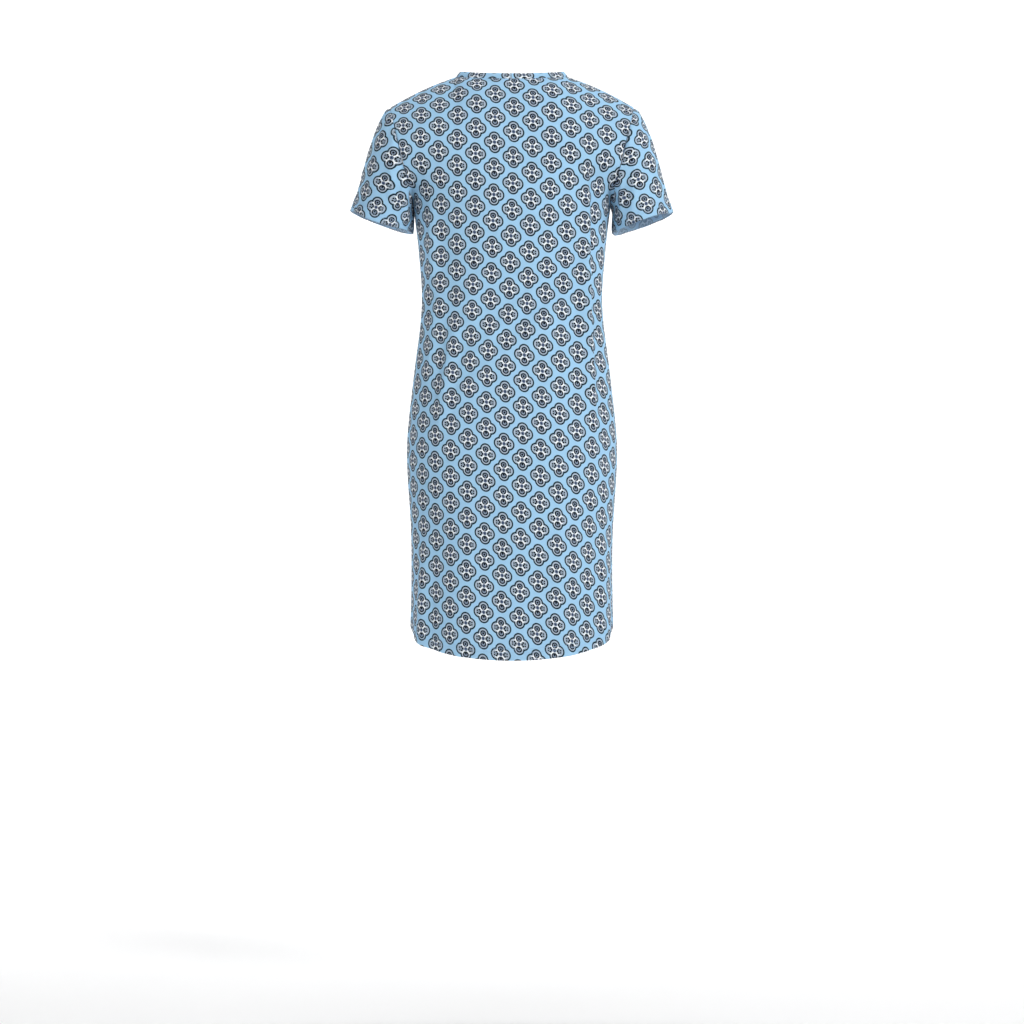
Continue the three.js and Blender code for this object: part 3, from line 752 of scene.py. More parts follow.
def thread_mesh(name, strands, radius=THREAD_RADIUS):
    """Threads as thin tubes with five sides. strands is a list of lists of points."""
    ring = range(THREAD_SIDES)
    points, faces = [], []
    for strand in strands:
        line = np.asarray(strand, float)
        t = unit(np.gradient(line, axis=0))
        guide = np.array([0.0, 0.0, 1.0]) if abs(t[0][2]) < 0.8 else np.array([1.0, 0.0, 0.0])
        side = unit(np.cross(t, guide))
        up = np.cross(side, t)
        start = len(points)
        for k in range(len(line)):
            taper = 0.55 if k in (0, len(line) - 1) else 1.0
            for m in ring:
                a = 2 * math.pi * m / THREAD_SIDES
                points.append(line[k] + radius * taper * (math.cos(a) * side[k] + math.sin(a) * up[k]))
        for k in range(len(line) - 1):
            here = start + k * THREAD_SIDES
            there = here + THREAD_SIDES
            for m in ring:
                q = (m + 1) % THREAD_SIDES
                faces.append((here + m, here + q, there + q, there + m))
        faces.append(tuple(start + m for m in reversed(ring)))
        last = start + (len(line) - 1) * THREAD_SIDES
        faces.append(tuple(last + m for m in ring))
    made = plain_object(name, points, faces)
    made.data.polygons.foreach_set("use_smooth", [True] * len(faces))
    bpy.context.view_layer.objects.active = made
    bpy.ops.object.select_all(action="DESELECT")
    made.select_set(True)
    bpy.ops.object.mode_set(mode="EDIT")
    bpy.ops.mesh.select_all(action="SELECT")
    bpy.ops.mesh.normals_make_consistent(inside=False)
    bpy.ops.object.mode_set(mode="OBJECT")
    return made


STITCH = 0.0026
STITCH_GAP = 0.0007
# how far along a stitch, and how high over the cloth, its points lie
STITCH_SHARES = np.array([0, 0.15, 0.5, 0.85, 1.0])
STITCH_LIFT = np.array([-0.00015, 0.00020, 0.00025, 0.00020, -0.00015])


def running_stitches(name, rows):
    """Rows of short strands on the cloth, each dipping into it at both ends.

    A row is a list of (point, normal).
    """
    strands = []
    for spots in rows:
        line, normals = split(spots)
        run = run_along(line)
        s = 0.0
        while s + STITCH < run[-1]:
            at = s + STITCH * STITCH_SHARES
            out = unit(read_along(at, run, normals))
            strands.append(read_along(at, run, line) + out * STITCH_LIFT[:, None])
            s += STITCH + STITCH_GAP
    return dress(thread_mesh(name, strands), "thread")


# ---------------------------------------------------------------- materials
GROUND_BLUE = "#a4cfee"
MEDALLION_DEEP = "#94a6ba"
MEDALLION_PALE = "#b2c2d0"
PRINT_WHITE = "#f6fafd"
PRINT_DARK = "#030a14"
PRINT_SLATE = "#45597a"
PRINT_LINE = "#0d2431"
REVERSE_BLUE = "#b9d6f1"
# the print's half-drop repeat, in millimetres
PITCH_ACROSS = 62.4
PITCH_DOWN = 41.9
PRINT_DROP = 98.0
# knitted columns and rows, in millimetres
WALE = 0.42
COURSE = 0.66


def linear(hex_colour):
    """Linear colour from an ordinary hex colour."""
    parts = [int(hex_colour[i:i + 2], 16) / 255 for i in (1, 3, 5)]
    return tuple(c / 12.92 if c <= 0.04045 else ((c + 0.055) / 1.055)**2.4 for c in parts) + (1.0,)


class Pattern:
    """Short way to write a material's maths as nodes."""

    def __init__(self, material):
        self.tree = material.node_tree
        self.nodes = self.tree.nodes
        self.links = self.tree.links

    def feed(self, socket, value):
        if isinstance(value, bpy.types.NodeSocket):
            self.links.new(value, socket)
        else:
            socket.default_value = value

    def math(self, kind, a, b=None, c=None, clamp=False):
        node = self.nodes.new("ShaderNodeMath")
        node.operation = kind
        node.use_clamp = clamp
        for k, value in enumerate((a, b, c)):
            if value is not None:
                self.feed(node.inputs[k], value)
        return node.outputs[0]

    def add(self, a, b):
        return self.math("ADD", a, b)

    def sub(self, a, b):
        return self.math("SUBTRACT", a, b)

    def mul(self, a, b):
        return self.math("MULTIPLY", a, b)

    def mad(self, a, b, c):
        return self.math("MULTIPLY_ADD", a, b, c)

    def low(self, a, b):
        return self.math("MINIMUM", a, b)

    def high(self, a, b):
        return self.math("MAXIMUM", a, b)

    def size(self, x, y):
        return self.math("SQRT", self.mad(x, x, self.mul(y, y)))

    def step(self, distance, soft=0.16):
        """1 inside (distance below 0) and 0 outside, with an edge soft wide."""
        return self.math("MULTIPLY_ADD", distance, -1 / soft, 0.5, clamp=True)

    def mix(self, share, a, b):
        node = self.nodes.new("ShaderNodeMix")
        node.data_type = "RGBA"
        self.feed(node.inputs["Factor"], share)
        self.feed(node.inputs["A"], a)
        self.feed(node.inputs["B"], b)
        return node.outputs["Result"]

    def uv(self, name):
        node = self.nodes.new("ShaderNodeUVMap")
        node.uv_map = name
        split = self.nodes.new("ShaderNodeSeparateXYZ")
        self.links.new(node.outputs[0], split.inputs[0])
        return node.outputs[0], split.outputs[0], split.outputs[1]

    def noise(self, vector, scale, detail=3.0, rough=0.55):
        node = self.nodes.new("ShaderNodeTexNoise")
        node.inputs["Scale"].default_value = scale
        node.inputs["Detail"].default_value = detail
        node.inputs["Roughness"].default_value = rough
        self.links.new(vector, node.inputs["Vector"])
        return node.outputs["Fac"]

    def bump(self, height, strength, distance):
        node = self.nodes.new("ShaderNodeBump")
        node.inputs["Strength"].default_value = strength
        node.inputs["Distance"].default_value = distance
        self.links.new(height, node.inputs["Height"])
        return node.outputs[0]


def new_material(name, rough, sheen, tint=(1, 1, 1, 1)):
    material = bpy.data.materials.new(name)
    material.use_nodes = True
    shader = material.node_tree.nodes["Principled BSDF"]
    shader.inputs["Roughness"].default_value = rough
    shader.inputs["Specular IOR Level"].default_value = 0.14
    shader.inputs["Sheen Weight"].default_value = sheen
    shader.inputs["Sheen Roughness"].default_value = 0.45
    shader.inputs["Sheen Tint"].default_value = tint
    return material, Pattern(material), shader


def knit_height(p, x, z):
    """Columns of small V stitches, as single jersey shows on its face. x and z in millimetres."""
    wale = p.math("PINGPONG", x, WALE)
    column = p.math("SINE", p.mul(wale, math.pi / WALE))
    slant = p.mad(wale, 1.1, z)
    course = p.math("SINE", p.mul(slant, 2 * math.pi / COURSE))
    return p.mad(course, 0.28, column)


def medallion_print(p, x, z, faded=0.0):
    """Colour of the all-over print at x, z in millimetres on the cut cloth."""

    def local(value, pitch, shift):
        return p.math("WRAP", p.sub(value, shift), pitch / 2, -pitch / 2)
    # the two nearest medallions, one in each set of rows, and the nearer of them
    ax, az = local(x, PITCH_ACROSS, 0.0), local(z, PITCH_DOWN, 0.0)
    bx, bz = local(x, PITCH_ACROSS, PITCH_ACROSS / 2), local(z, PITCH_DOWN, PITCH_DOWN / 2)
    near_a = p.mad(ax, ax, p.mul(az, az))
    near_b = p.mad(bx, bx, p.mul(bz, bz))
    pick = p.math("LESS_THAN", near_b, near_a)
    lx = p.mad(pick, p.sub(bx, ax), ax)
    lz = p.mad(pick, p.sub(bz, az), az)
    lx = p.mad(lz, 0.03, lx)
    fx, fz = p.math("ABSOLUTE", lx), p.math("ABSOLUTE", lz)
    upper = p.math("GREATER_THAN", lz, 0.0)

    # four-lobed outline, with a fine second line inside it
    side = p.sub(p.size(p.sub(fx, 8.1), fz), 9.5)
    tall = p.sub(p.size(fx, p.sub(fz, 8.1)), 9.5)
    shape = p.math("SMOOTH_MIN", side, tall, 1.4)
    outline = p.step(p.sub(p.math("ABSOLUTE", p.add(shape, 1.1)), 1.2))
    hairline = p.step(p.sub(p.math("ABSOLUTE", p.add(shape, 3.1)), 0.22))
    inside = p.step(shape)

    # round eyes above and below: a ring, open towards the middle, round a dark pupil
    ring_z = p.sub(fz, p.mad(upper, -0.6, 8.7))
    ring_r = p.size(p.mul(lx, 0.90), ring_z)
    band = p.sub(p.math("ABSOLUTE", p.sub(ring_r, 3.75)), 1.0)
    mouth = p.high(p.sub(fx, 0.55), ring_z)
    ring = p.mul(p.step(band), p.sub(1.0, p.mul(p.step(mouth), upper)))
    pupil = p.step(p.sub(p.size(lx, p.mad(p.sub(upper, 1.0), -1.3, ring_z)), 1.75))
    fringe = p.step(p.sub(p.size(lx, p.sub(ring_z, 0.4)), 3.3))
    lashes = p.math("SINE", p.mul(lx, 2 * math.pi / 1.5))

    # flowers left and right: five round petals
    sx = p.sub(fx, 8.6)
    petal_r = p.size(sx, lz)
    turn = p.math("WRAP", p.sub(p.math("ARCTAN2", lz, sx), math.pi / 5), math.pi / 5, -math.pi / 5)
    petal = p.sub(p.size(p.sub(petal_r, 2.95), p.mul(turn, 2.95)), p.mad(p.sub(8.6, fx), 0.08, 1.55))
    seed = p.step(p.sub(petal_r, 0.55))
    dark = p.high(p.high(ring, pupil), p.high(p.step(petal), seed))

    # white strokes on the diagonals, widening into a fork at their outer ends
    along = p.mul(p.add(fx, fz), 0.7071)
    apart = p.math("ABSOLUTE", p.mul(p.sub(fx, fz), 0.7071))
    stem = p.high(p.sub(apart, 1.15), p.sub(p.math("ABSOLUTE", p.sub(along, 6.4)), 3.2))
    fork = p.high(p.sub(p.math("ABSOLUTE", p.sub(apart, p.mul(p.sub(along, 7.6), 1.2))), 0.9),
                  p.sub(p.math("ABSOLUTE", p.sub(along, 9.0)), 1.5))
    white = p.high(p.step(stem), p.step(fork))
    heart = p.size(lx, lz)
    centre = p.step(p.sub(heart, 3.0))
    halo = p.step(p.sub(heart, 3.7))

    # fine stippled stripes in the pale border of the medallion
    stripes = p.math("SINE", p.mul(p.mad(lx, 0.6, lz), 2 * math.pi / 1.15))
    border = p.mix(p.mad(stripes, 0.22, 0.5), linear(MEDALLION_DEEP), linear(MEDALLION_PALE))
    border = p.mix(p.mul(hairline, 0.35), border, linear(PRINT_WHITE))
    colour = p.mix(inside, linear(GROUND_BLUE), border)
    colour = p.mix(p.mul(halo, 0.75), colour, linear(PRINT_WHITE))
    colour = p.mix(p.mul(white, 0.97), colour, linear(PRINT_WHITE))
    colour = p.mix(p.mul(fringe, p.mad(lashes, 0.15, 0.45)), colour, linear(PRINT_SLATE))
    colour = p.mix(p.mul(dark, 0.97), colour, linear(PRINT_DARK))
    colour = p.mix(p.mul(centre, 0.95), colour, linear(PRINT_SLATE))
    colour = p.mix(p.mul(outline, 0.97), colour, linear(PRINT_LINE))
    if faded:
        colour = p.mix(faded, colour, linear(REVERSE_BLUE))
    return colour


def jersey(name, faded=0.0):
    """Knitted cloth with the print on it. The reverse shows the print faded."""
    material, p, shader = new_material(name, 0.86, 0.06, linear("#dbe9f7"))
    _, px, pz = p.uv("print")
    colour = medallion_print(p, p.mul(px, 1000.0), p.mad(pz, 1000.0, PRINT_DROP), faded)
    vector, cx, cz = p.uv("cut")
    cloud = p.noise(vector, 38, 2)
    fibre = p.noise(vector, 2600, 2, 0.7)
    tone = p.mad(cloud, 0.10, p.mad(fibre, 0.14, 0.88))
    node = p.nodes.new("ShaderNodeVectorMath")
    node.operation = "SCALE"
    p.links.new(colour, node.inputs[0])
    p.links.new(tone, node.inputs["Scale"])
    p.links.new(node.outputs[0], shader.inputs["Base Color"])
    height = knit_height(p, p.mul(cx, 1000.0), p.mul(cz, 1000.0))
    height = p.mad(fibre, 0.8, height)
    p.links.new(p.bump(height, 0.32, 0.00022), shader.inputs["Normal"])
    p.links.new(p.mad(fibre, 0.12, 0.80), shader.inputs["Roughness"])
    return material


def thread_material(name, colour, pitch):
    """Twisted sewing thread."""
    material, p, shader = new_material(name, 0.6, 0.25, colour)
    place = p.nodes.new("ShaderNodeTexCoord").outputs["Object"]
    wave = p.nodes.new("ShaderNodeTexWave")
    wave.bands_direction = "DIAGONAL"
    wave.inputs["Scale"].default_value = pitch
    wave.inputs["Distortion"].default_value = 1.5
    p.links.new(place, wave.inputs["Vector"])
    # painted shade: the darker bands along the twist stand for the shade in the grooves between the plies,
    # darkest where the same wave sinks the bump
    darker = tuple(c * 0.72 for c in colour[:3]) + (1.0,)
    p.links.new(p.mix(wave.outputs["Fac"], darker, colour), shader.inputs["Base Color"])
    p.links.new(p.bump(wave.outputs["Fac"], 0.5, 0.0001), shader.inputs["Normal"])
    return material


TAPE_WEAVE = 0.0011
TAPE_HALF = 0.0028


def tape_material(name, colour):
    """Narrow woven tape with a herringbone of slanting ribs."""
    material, p, shader = new_material(name, 0.7, 0.15, colour)
    vector, x, z = p.uv("cut")
    half = p.math("PINGPONG", x, TAPE_HALF)
    rib = p.math("SINE", p.mul(p.add(half, z), 2 * math.pi / TAPE_WEAVE))
    fibre = p.noise(vector, 3000, 2, 0.7)
    # partly painted shade: the ribs darken the colour in their hollows, where the same ribs sink the bump;
    # the fibre noise is random tone
    tone = p.mad(rib, 0.10, p.mad(fibre, 0.25, 0.72))
    darker = tuple(c * 0.6 for c in colour[:3]) + (1.0,)
    p.links.new(p.mix(tone, darker, colour), shader.inputs["Base Color"])
    p.links.new(p.bump(rib, 0.6, 0.0002), shader.inputs["Normal"])
    return material


def label_material(name):
    """Blank satin label: fine close ribs and a soft shine."""
    material, p, shader = new_material(name, 0.42, 0.1)
    place = p.nodes.new("ShaderNodeTexCoord").outputs["Object"]
    split = p.nodes.new("ShaderNodeSeparateXYZ")
    p.links.new(place, split.inputs[0])
    rib = p.math("SINE", p.mul(split.outputs[2], 2 * math.pi / 0.0005))
    fibre = p.noise(place, 1800, 3, 0.6)
    # partly painted shade: the ribs darken the colour in their hollows, where the same ribs sink the bump;
    # the fibre noise is random tone
    tone = p.mad(rib, 0.12, p.mul(fibre, 0.6))
    p.links.new(p.mix(tone, linear("#e3e5e4"), linear("#fafaf8")), shader.inputs["Base Color"])
    p.links.new(p.bump(rib, 0.35, 0.00008), shader.inputs["Normal"])
    return material


MATERIALS = {}


def make_materials():
    MATERIALS["jersey"] = jersey("printed_jersey")
    MATERIALS["jersey_inside"] = jersey("jersey_inside", 0.62)
    MATERIALS["thread"] = thread_material("sewing_thread", linear("#a9cdef"), 900)
    MATERIALS["overlock"] = thread_material("overlock_thread", linear("#c2dcf3"), 700)
    MATERIALS["tape"] = tape_material("neck_tape", linear("#8fbbe6"))
    MATERIALS["label"] = label_material("blank_label")


def dress(obj, *names):
    for name in names:
        obj.data.materials.append(MATERIALS[name])
    return obj


# ---------------------------------------------------------------- places on the cloth
BODY = "gown_body"
ARM = {"left": "left_sleeve_body", "right": "right_sleeve_body"}
ARM_START = {"right": ARM_CENTRE, "left": ARM_CENTRE * np.array([-1, 1, 1])}
ARM_DIR = {"right": ARM_OUT, "left": ARM_OUT * np.array([-1, 1, 1])}


def bend_with_sleeve(obj):
    """Bakes the object's placement into its mesh."""
    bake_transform(obj)


def neck_ring():
    """Points, outward directions and rising directions round the neck seam, on the finished cloth."""
    shares = np.linspace(0, 0.5, 33)
    order = [("back", u) for u in shares] + [("front", u) for u in shares[::-1][1:]]
    order += [("front", -u) for u in shares[1:]] + [("back", -u) for u in shares[::-1][1:-1]]
    line = np.array([on_cloth(part, 0.0, u)[0] for part, u in order])
    for _ in range(2):
        line = (np.roll(line, 1, axis=0) + 2 * line + np.roll(line, -1, axis=0)) / 4
    y = line[:, 1]
    reach = np.where(y < 0, NECK_REACH[-1], NECK_REACH[1])
    inward = unit(np.stack([-line[:, 0] / NECK_HALF, -y / reach, 0 * y], axis=1))
    lean = np.where(y < 0, 0.62, 0.62 - 0.12 * np.clip(y / NECK_REACH[1], 0, 1))
    rise = unit(inward * lean[:, None] + np.array([0, 0, 1.0]) * (1 - 0.25 * lean)[:, None])
    along = np.roll(line, -1, axis=0) - np.roll(line, 1, axis=0)
    out = unit(np.cross(along, rise))
    return line, out, rise


def cloth_mesh(name, part, thick, printed):
    """Mesh of a panel or sleeve from its finished surface, with the print outside and its reverse inside."""
    c = CLOTH[part]
    flats = {"print": printed, "cut": c["flat"]}
    made = sheet_mesh(name, c["P"], c["P"] - c["N"] * thick, flats, wrap=c.get("wrap", False))
    return dress(made, "jersey", "jersey_inside")


def make_panel(part, thick):
    """Back or front panel, with the print where it falls on that piece."""
    flat = CLOTH[part]["flat"]
    x, z = flat[..., 0], flat[..., 1]
    if part == "back":
        # the cloth hangs a little off its grain
        grain_x = 0.0044 + 0.035 * z + 0.0076 * z**2 + x * (0.055 * z + 0.10 * x - 0.022)
        grain_z = 0.0030 * z**2 + 0.0089 * z - 0.0062 + x * (0.0285 * z + 0.15 * x)
        x, z = x - grain_x, z - grain_z
        slant = z + 0.34 * ((x + 0.17)**2 - 0.0289)
    else:
        slant = z - 0.06 * x + 0.10 * x**2 + 0.012
    obj = cloth_mesh(f"{part}_panel_cloth", part, thick, np.stack([x, slant], axis=-1))
    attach(obj, BODY)
    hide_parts(f"{part}_panel")
    return obj


def length_setting(name, description, default, least, most):
    return bpy.props.FloatProperty(name=name, description=description, default=default, min=least, max=most,
                                   unit="LENGTH", subtype="DISTANCE")


class GownCloth(bpy.types.PropertyGroup):
    thickness: length_setting("Cloth thickness", "Thickness of one layer of jersey", 0.0009, 0.0004, 0.002)
    hem_depth: length_setting("Hem depth", "Turned-up depth of the body hem", 0.020, 0.008, 0.04)
    sleeve_hem_depth: length_setting("Sleeve hem depth", "Turned-up depth of the sleeve hems",
                                     0.018, 0.008, 0.04)
    band_height: length_setting("Neckband height", "Finished height of the neckband", 0.0125, 0.006, 0.03)


class GownStage(bpy.types.PropertyGroup):
    floor_colour: bpy.props.FloatVectorProperty(
        name="Floor colour", description="Colour of floor and backdrop",
        default=(0.80, 0.80, 0.80), size=3, min=0, max=1, subtype="COLOR")
    camera_distance: length_setting("Camera distance", "From camera to the shoulder line", 5.8, 2, 9)


class GOWN_OT_panels(bpy.types.Operator):
    """Hang the gown on its form and make the back and front panels"""
    bl_idname = "gown.panels"
    bl_label = "Back and front panels"

    def execute(self, context):
        finish_cloth()
        for part in ("back", "front"):
            obj = make_panel(part, context.scene.gown_cloth.thickness)
        return {"FINISHED"}


class GOWN_OT_sleeves(bpy.types.Operator):
    """Make both set-in sleeves with their gathered crowns"""
    bl_idname = "gown.sleeves"
    bl_label = "Sleeves"

    def execute(self, context):
        for side, shift in (("left", 0.006), ("right", -0.004)):
            printed = CLOTH[side]["flat"] + np.array([shift, -0.058])
            obj = cloth_mesh(f"{side}_sleeve_cloth", side, context.scene.gown_cloth.thickness, printed)
            bend_with_sleeve(obj)
            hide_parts(f"{side}_sleeve")
        return {"FINISHED"}


LAYER_GAP = 0.0002


def turn_up(part, name, body, edge, drop, width, depth, thick, us, shares, sewn_us):
    """Turned-up layer of a hem inside the cloth, sewn with two rows of stitches.

    edge is the row of the folded edge. drop and width are the cloth's length and width for
    one row and one column.
    """
    rows = edge - depth / drop * np.array(shares)
    outer, inner = (np.array([[on_cloth(part, r, u, layers * (thick + LAYER_GAP))[0] for u in us]
                              for r in rows]) for layers in (1, 2))
    flat = np.stack(np.meshgrid(us * width, rows * drop), axis=-1)
    obj = sheet_mesh(f"{name}_hem_fold", outer, inner, {"print": flat, "cut": flat},
                     wrap=CLOTH[part].get("wrap", False))
    dress(obj, "jersey_inside", "jersey_inside")
    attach(obj, body)
    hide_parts(f"{name}_hem")
    sewn = running_stitches(f"{name}_hem_stitches",
                            [[on_cloth(part, edge - up / drop, u) for u in sewn_us]
                             for up in (depth - 0.0015, depth - 0.0075)])
    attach(sewn, body)


class GOWN_OT_hems(bpy.types.Operator):
    """Turn up the hems of body and sleeves, inside, and sew them with two rows of stitches"""
    bl_idname = "gown.hems"
    bl_label = "Hems and their stitches"

    def execute(self, context):
        settings = context.scene.gown_cloth
        for part in ("back", "front"):
            turn_up(part, part, BODY, 3, BODY_DROP, 0.21, settings.hem_depth, settings.thickness,
                    np.linspace(-0.955, 0.955, 121), [1.0, 0.97, 0.85, 0.7, 0.5, 0.3, 0.15, 0.05, 0.006],
                    np.linspace(-0.985, 0.985, 221))
        for side in ("left", "right"):
            turn_up(side, f"{side}_sleeve", ARM[side], 1, SLEEVE_DROP, 0.11, settings.sleeve_hem_depth,
                    settings.thickness, np.linspace(0, 4, 97)[:-1],
                    [1.0, 0.96, 0.8, 0.6, 0.4, 0.2, 0.06, 0.012], np.linspace(0, 4, 181))
        return {"FINISHED"}


class GOWN_OT_neckband(bpy.types.Operator):
    """Make the folded neckband, its stitches and the tape over the back neck seam"""
    bl_idname = "gown.neckband"
    bl_label = "Neckband and tape"

    def execute(self, context):
        settings = context.scene.gown_cloth
        line, out, rise = neck_ring()
        height = settings.band_height
        # cross section of the folded band, from the outer seam edge over the fold to the inner edge
        shares = np.array([-0.04, 0.0, 0.06, 0.16, 0.3, 0.45, 0.6, 0.75, 0.87, 0.95, 1.0])
        crown = 0.0012 * np.sin(math.pi * np.clip(shares, 0, 1))**0.7
        ends = 0.0009 * np.clip(1 - np.minimum(np.abs(shares), np.abs(1 - shares)) / 0.07, 0, 1)**2
        spine = line + rise * (0.0004 + shares * height)[:, None, None]
        outer = spine + out * (0.0003 + crown - ends)[:, None, None]
        inner = spine - out * (0.0012 - ends)[:, None, None]
        flat = np.stack(np.meshgrid(run_along(line), shares * height), axis=-1)
        printed = flat + np.array([0.011, -0.084])
        obj = sheet_mesh("neckband_cloth", outer, inner, {"print": printed, "cut": flat}, wrap=True)
        dress(obj, "jersey", "jersey")
        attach(obj, BODY)
        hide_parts("neckband")

        spots = [on_cloth("back", 0.034, u) for u in np.linspace(-0.49, 0.49, 120)]
        spots += [on_cloth("front", 0.034, u) for u in np.linspace(0.49, -0.49, 150)]
        spots.append(spots[0])
        sewn = running_stitches("neck_stitches", [spots])
        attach(sewn, BODY)

        us = np.linspace(-0.47, 0.47, 81)
        points, outward = split([on_cloth("back", 0.030, u, 0.0022) for u in us])
        tops = np.array([on_cloth("back", 0.002, u, 0.0022)[0] for u in us])
        tape = ribbon_mesh("back_neck_tape_woven", points, outward, unit(tops - points), 0.0045, 0.0008)
        dress(tape, "tape", "tape")
        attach(tape, BODY)
        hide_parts("back_neck_tape")
        return {"FINISHED"}


SEAM_LAYERS = 0.0011
OVERLOCK_RADIUS = 0.00024
LOOP_STEP = 0.0024


def overlocked_strip(node, points, outward, across, half, sleeve=None):
    """Trimmed seam allowance with looped overlock thread round its free edge."""
    strip = ribbon_mesh(f"{node}_edge", points, outward, across, half, SEAM_LAYERS)
    dress(strip, "jersey_inside", "jersey_inside")
    run = run_along(points)
    count = max(6, int(run[-1] / LOOP_STEP))
    at = np.linspace(0.001, run[-1] - 0.001, count * 4 + 1)
    p = read_along(at, run, points)
    n, a = unit(read_along(at, run, outward)), unit(read_along(at, run, across))
    phase = np.arange(len(at)) % 4
    sideways = np.choose(phase, [-0.35, 1.04, 1.04, -0.35])
    depth = np.choose(phase, [-0.0002, -0.0002, 0.0013, 0.0013])
    loops = p + a * (sideways * half)[:, None] - n * depth[:, None]
    spine = p + a * (-0.35 * half) + n * 0.0002
    thread = thread_mesh(f"{node}_edge_thread", [loops, spine], OVERLOCK_RADIUS)
    dress(thread, "overlock")
    for obj in (strip, thread):
        if sleeve:
            bend_with_sleeve(obj)
        else:
            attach(obj, BODY)
    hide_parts(node)


class GOWN_OT_seams(bpy.types.Operator):
    """Make the overlocked seam allowances inside and the bar tacks at the notches"""
    bl_idname = "gown.seams"
    bl_label = "Seams and bar tacks"

    def execute(self, context):
        thick = context.scene.gown_cloth.thickness
        for side, sign in (("left", -1), ("right", 1)):
            rows = np.linspace(2.02, 2.955, 140)
            points, outward = split([on_cloth("back", r, sign * 0.962, thick + 0.0012) for r in rows])
            across = unit(np.array([on_cloth("back", r, sign * 0.94)[0] - on_cloth("back", r, sign * 0.985)[0]
                                    for r in rows]))
            overlocked_strip(f"{side}_side_seam", points, outward, across, 0.0042)

            us = np.linspace(0.53, 0.965, 40) * sign
            points, outward = split([on_cloth("back", 0.03, u, thick + 0.001) for u in us])
            lower = np.array([on_cloth("back", 0.06, u, thick + 0.001)[0] for u in us])
            overlocked_strip(f"{side}_shoulder_seam", points, outward, unit(lower - points), 0.0040)

            turns = np.concatenate([np.linspace(0.02, 2, 80), np.linspace(2, 3.98, 80)[1:]])
            points = np.array([on_cloth("back" if t <= 2 else "front", min(t, 4 - t), 0.999 * sign, 0.0022)[0]
                               for t in turns])
            inward = unit(ARM_START[side] - points)
            points = points + inward * 0.0060 - ARM_DIR[side] * 0.0012
            outward = np.repeat([ARM_DIR[side]], len(points), axis=0)
            overlocked_strip(f"{side}_armhole_seam", points, outward, inward, 0.0042)

            rows = np.linspace(0.06, 0.80, 30)
            points, outward = split([on_cloth(side, r, 2.0, thick + 0.0006) for r in rows])
            backward = np.repeat([[0.0, -1.0, 0.0]], len(rows), axis=0)
            overlocked_strip(f"{side}_sleeve_seam", points, outward, backward, 0.0040, side)

            # bar tack: close zigzag over a short core, at the top of the notch
            spot = on_cloth("back", 2.99, sign * 0.999)[0]
            core = np.array([[spot[0], y, spot[2] + 0.002] for y in np.linspace(-0.0045, 0.0045, 31)])
            core[:, 0] += sign * 0.0004
            zigzag = core.copy()
            zigzag[:, 2] += np.where(np.arange(len(core)) % 2, 0.0009, -0.0009)
            zigzag[:, 0] += sign * 0.0003
            tack = thread_mesh(f"{side}_notch_bar_tack", [core[::6], zigzag], 0.00030)
            dress(tack, "thread")
            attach(tack, BODY)
            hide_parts(f"{side}_notch_tack")
        return {"FINISHED"}


# node, width, height, degrees turned round the upright
LABELS = (("size_label", 0.032, 0.042, 0), ("care_label", 0.0435, 0.028, 45))
LABEL_THICKNESS = 0.0005


class GOWN_OT_labels(bpy.types.Operator):
    """Make the two blank labels from thin plates with softly bevelled edges"""
    bl_idname = "gown.labels"
    bl_label = "Blank labels"

    def execute(self, context):
        for node, width, height, angle in LABELS:
            low, high = (np.array(v, float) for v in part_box(node))
            middle = (low + high) / 2
            bpy.ops.object.select_all(action="DESELECT")
            bpy.ops.mesh.primitive_cube_add(size=1, location=(0, 0, 0))
            obj = bpy.context.object
            obj.name = f"{node}_blank"
            obj.scale = (width, LABEL_THICKNESS, height)
            bpy.ops.object.transform_apply(location=False, rotation=False, scale=True)
            bpy.ops.object.mode_set(mode="EDIT")
            bpy.ops.mesh.select_all(action="SELECT")
            bpy.ops.mesh.subdivide(number_cuts=14)
            bpy.ops.object.mode_set(mode="OBJECT")
            for v in obj.data.vertices:
                x, z = v.co.x / width, v.co.z / height
                v.co.y += 0.0006 * math.sin(math.pi * (x + 0.5)) * (0.5 - z)
                v.co.y += 0.0003 * math.sin(9 * x + 4 * z)
            c, s = math.cos(math.radians(angle)), math.sin(math.radians(angle))
            for v in obj.data.vertices:
                x, y = v.co.x, v.co.y
                v.co.x, v.co.y = middle[0] + c * x - s * y, middle[1] + s * x + c * y
                v.co.z += middle[2]
            bevel = obj.modifiers.new("soft edge", "BEVEL")
            bevel.width = 0.00015
            bevel.limit_method = "ANGLE"
            bpy.ops.object.modifier_apply(modifier=bevel.name)
            bpy.ops.object.shade_smooth()
            dress(obj, "label")
            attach(obj, f"{node}_flap")
            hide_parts(node)
        return {"FINISHED"}


FLOOR_HEIGHT = -1.52
ROOM_RADIUS = 6.2
ROOM_HEIGHT = 6.5
ROOM_SWEEP = 1.4
CAMERA_HEIGHT = -0.717
VIEW_WIDTH = 1.676
# name, place, aim, size, watts
LAMPS = (
    ("key_softbox", (2.3, -3.3, 1.7), (0, 0, -0.45), (1.1, 1.1), 96),
    ("fill_softbox", (-2.9, -3.0, 0.3), (0, 0, -0.5), (2.2, 2.4), 8),
    ("top_softbox", (0.0, 0.3, 2.6), (0, 0, -0.5), (2.6, 2.6), 20),
    ("rear_softbox", (1.6, 3.4, 0.8), (0, 0, -0.5), (2.4, 2.4), 5),
    ("rear_fill", (-2.2, 3.0, 0.2), (0, 0, -0.5), (2.0, 2.0), 3),
    ("backdrop_wash", (0.0, 2.4, 3.4), (0, ROOM_RADIUS, 0.0), (5.0, 1.2), 300),
)


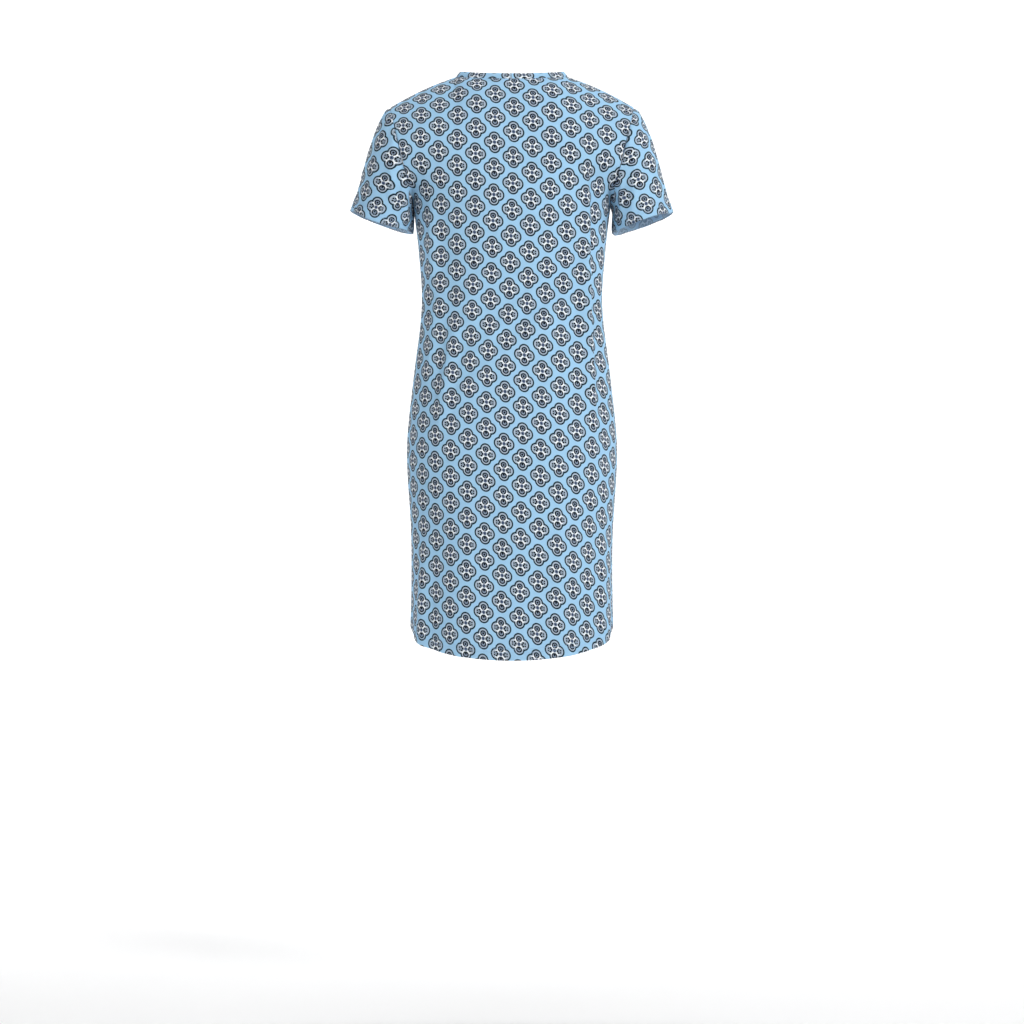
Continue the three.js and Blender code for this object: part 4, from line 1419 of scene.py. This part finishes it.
class GOWN_OT_stage(bpy.types.Operator):
    """Set up the pale floor and backdrop, the soft lights and the camera"""
    bl_idname = "gown.stage"
    bl_label = "Stage"

    def execute(self, context):
        stage = context.scene.gown_stage
        scene = context.scene
        bpy.ops.object.select_all(action="DESELECT")
        bpy.ops.mesh.primitive_circle_add(vertices=96, radius=ROOM_RADIUS, fill_type="NGON",
                                          location=(0, 0, 0))
        floor = bpy.context.object
        floor.name = "floor_and_backdrop"
        for v in floor.data.vertices:
            v.co.z = FLOOR_HEIGHT
        bpy.ops.object.mode_set(mode="EDIT")
        bpy.ops.mesh.select_mode(type="EDGE")
        bpy.ops.mesh.select_all(action="SELECT")
        bpy.ops.mesh.region_to_loop()
        bpy.ops.mesh.extrude_region_move(TRANSFORM_OT_translate={"value": (0, 0, ROOM_HEIGHT)})
        bpy.ops.object.mode_set(mode="OBJECT")
        bend = floor.modifiers.new("sweep", "BEVEL")
        bend.width = ROOM_SWEEP
        bend.segments = 12
        bend.limit_method = "ANGLE"
        bpy.ops.object.modifier_apply(modifier=bend.name)
        bpy.ops.object.shade_smooth()
        material, p, shader = new_material("studio_floor", 0.8, 0.0)
        place = p.nodes.new("ShaderNodeTexCoord").outputs["Object"]
        cloud = p.noise(place, 1.4, 2)
        base = tuple(stage.floor_colour) + (1.0,)
        darker = tuple(c * 0.985 for c in base[:3]) + (1.0,)
        p.links.new(p.mix(cloud, darker, base), shader.inputs["Base Color"])
        shader.inputs["Emission Color"].default_value = (1.0, 1.0, 1.0, 1.0)
        shader.inputs["Emission Strength"].default_value = 0.10
        floor.data.materials.append(material)

        for name, place, aim, size, power in LAMPS:
            data = bpy.data.lights.new(name, "AREA")
            data.shape = "RECTANGLE"
            data.size, data.size_y = size
            data.energy = power
            obj = bpy.data.objects.new(name, data)
            scene.collection.objects.link(obj)
            obj.location = place
            obj.rotation_euler = (Vector(aim) - Vector(place)).to_track_quat("-Z", "Y").to_euler()
        world = bpy.data.worlds.new("studio_air")
        world.use_nodes = True
        world.node_tree.nodes["Background"].inputs["Color"].default_value = (0.97, 0.985, 1.0, 1.0)
        world.node_tree.nodes["Background"].inputs["Strength"].default_value = 0.15
        scene.world = world
        scene.view_settings.view_transform = "Standard"
        camera = bpy.data.cameras.new("camera")
        camera.lens = camera.sensor_width * stage.camera_distance / VIEW_WIDTH
        camera.clip_end = 60
        view = bpy.data.objects.new("camera", camera)
        scene.collection.objects.link(view)
        view.location = (0.0, -stage.camera_distance, CAMERA_HEIGHT)
        view.rotation_euler = (math.radians(90), 0, 0)
        scene.camera = view
        return {"FINISHED"}


class GOWN_PT_panel(bpy.types.Panel):
    """Lists the sizes of the gown and the steps that build it"""
    bl_idname = "GOWN_PT_panel"
    bl_label = "Patient gown"
    bl_space_type = "VIEW_3D"
    bl_region_type = "UI"
    bl_category = "Gown"

    def draw(self, context):
        layout = self.layout
        for key in ("thickness", "hem_depth", "sleeve_hem_depth", "band_height"):
            layout.prop(context.scene.gown_cloth, key)
        for key in ("floor_colour", "camera_distance"):
            layout.prop(context.scene.gown_stage, key)
        for step in STEPS:
            layout.operator(step.bl_idname)


STEPS = (GOWN_OT_stage, GOWN_OT_panels, GOWN_OT_sleeves, GOWN_OT_hems, GOWN_OT_neckband, GOWN_OT_seams,
         GOWN_OT_labels)
CLASSES = (GownCloth, GownStage, *STEPS, GOWN_PT_panel)


def register():
    for cls in CLASSES:
        bpy.utils.register_class(cls)
    bpy.types.Scene.gown_cloth = bpy.props.PointerProperty(type=GownCloth)
    bpy.types.Scene.gown_stage = bpy.props.PointerProperty(type=GownStage)


def unregister():
    del bpy.types.Scene.gown_stage
    del bpy.types.Scene.gown_cloth
    for cls in reversed(CLASSES):
        bpy.utils.unregister_class(cls)


def main():
    register()
    make_materials()
    bpy.ops.gown.stage()
    bpy.ops.gown.panels()
    bpy.ops.gown.sleeves()
    bpy.ops.gown.hems()
    bpy.ops.gown.neckband()
    bpy.ops.gown.seams()
    bpy.ops.gown.labels()


if __name__ == "__main__":
    main()
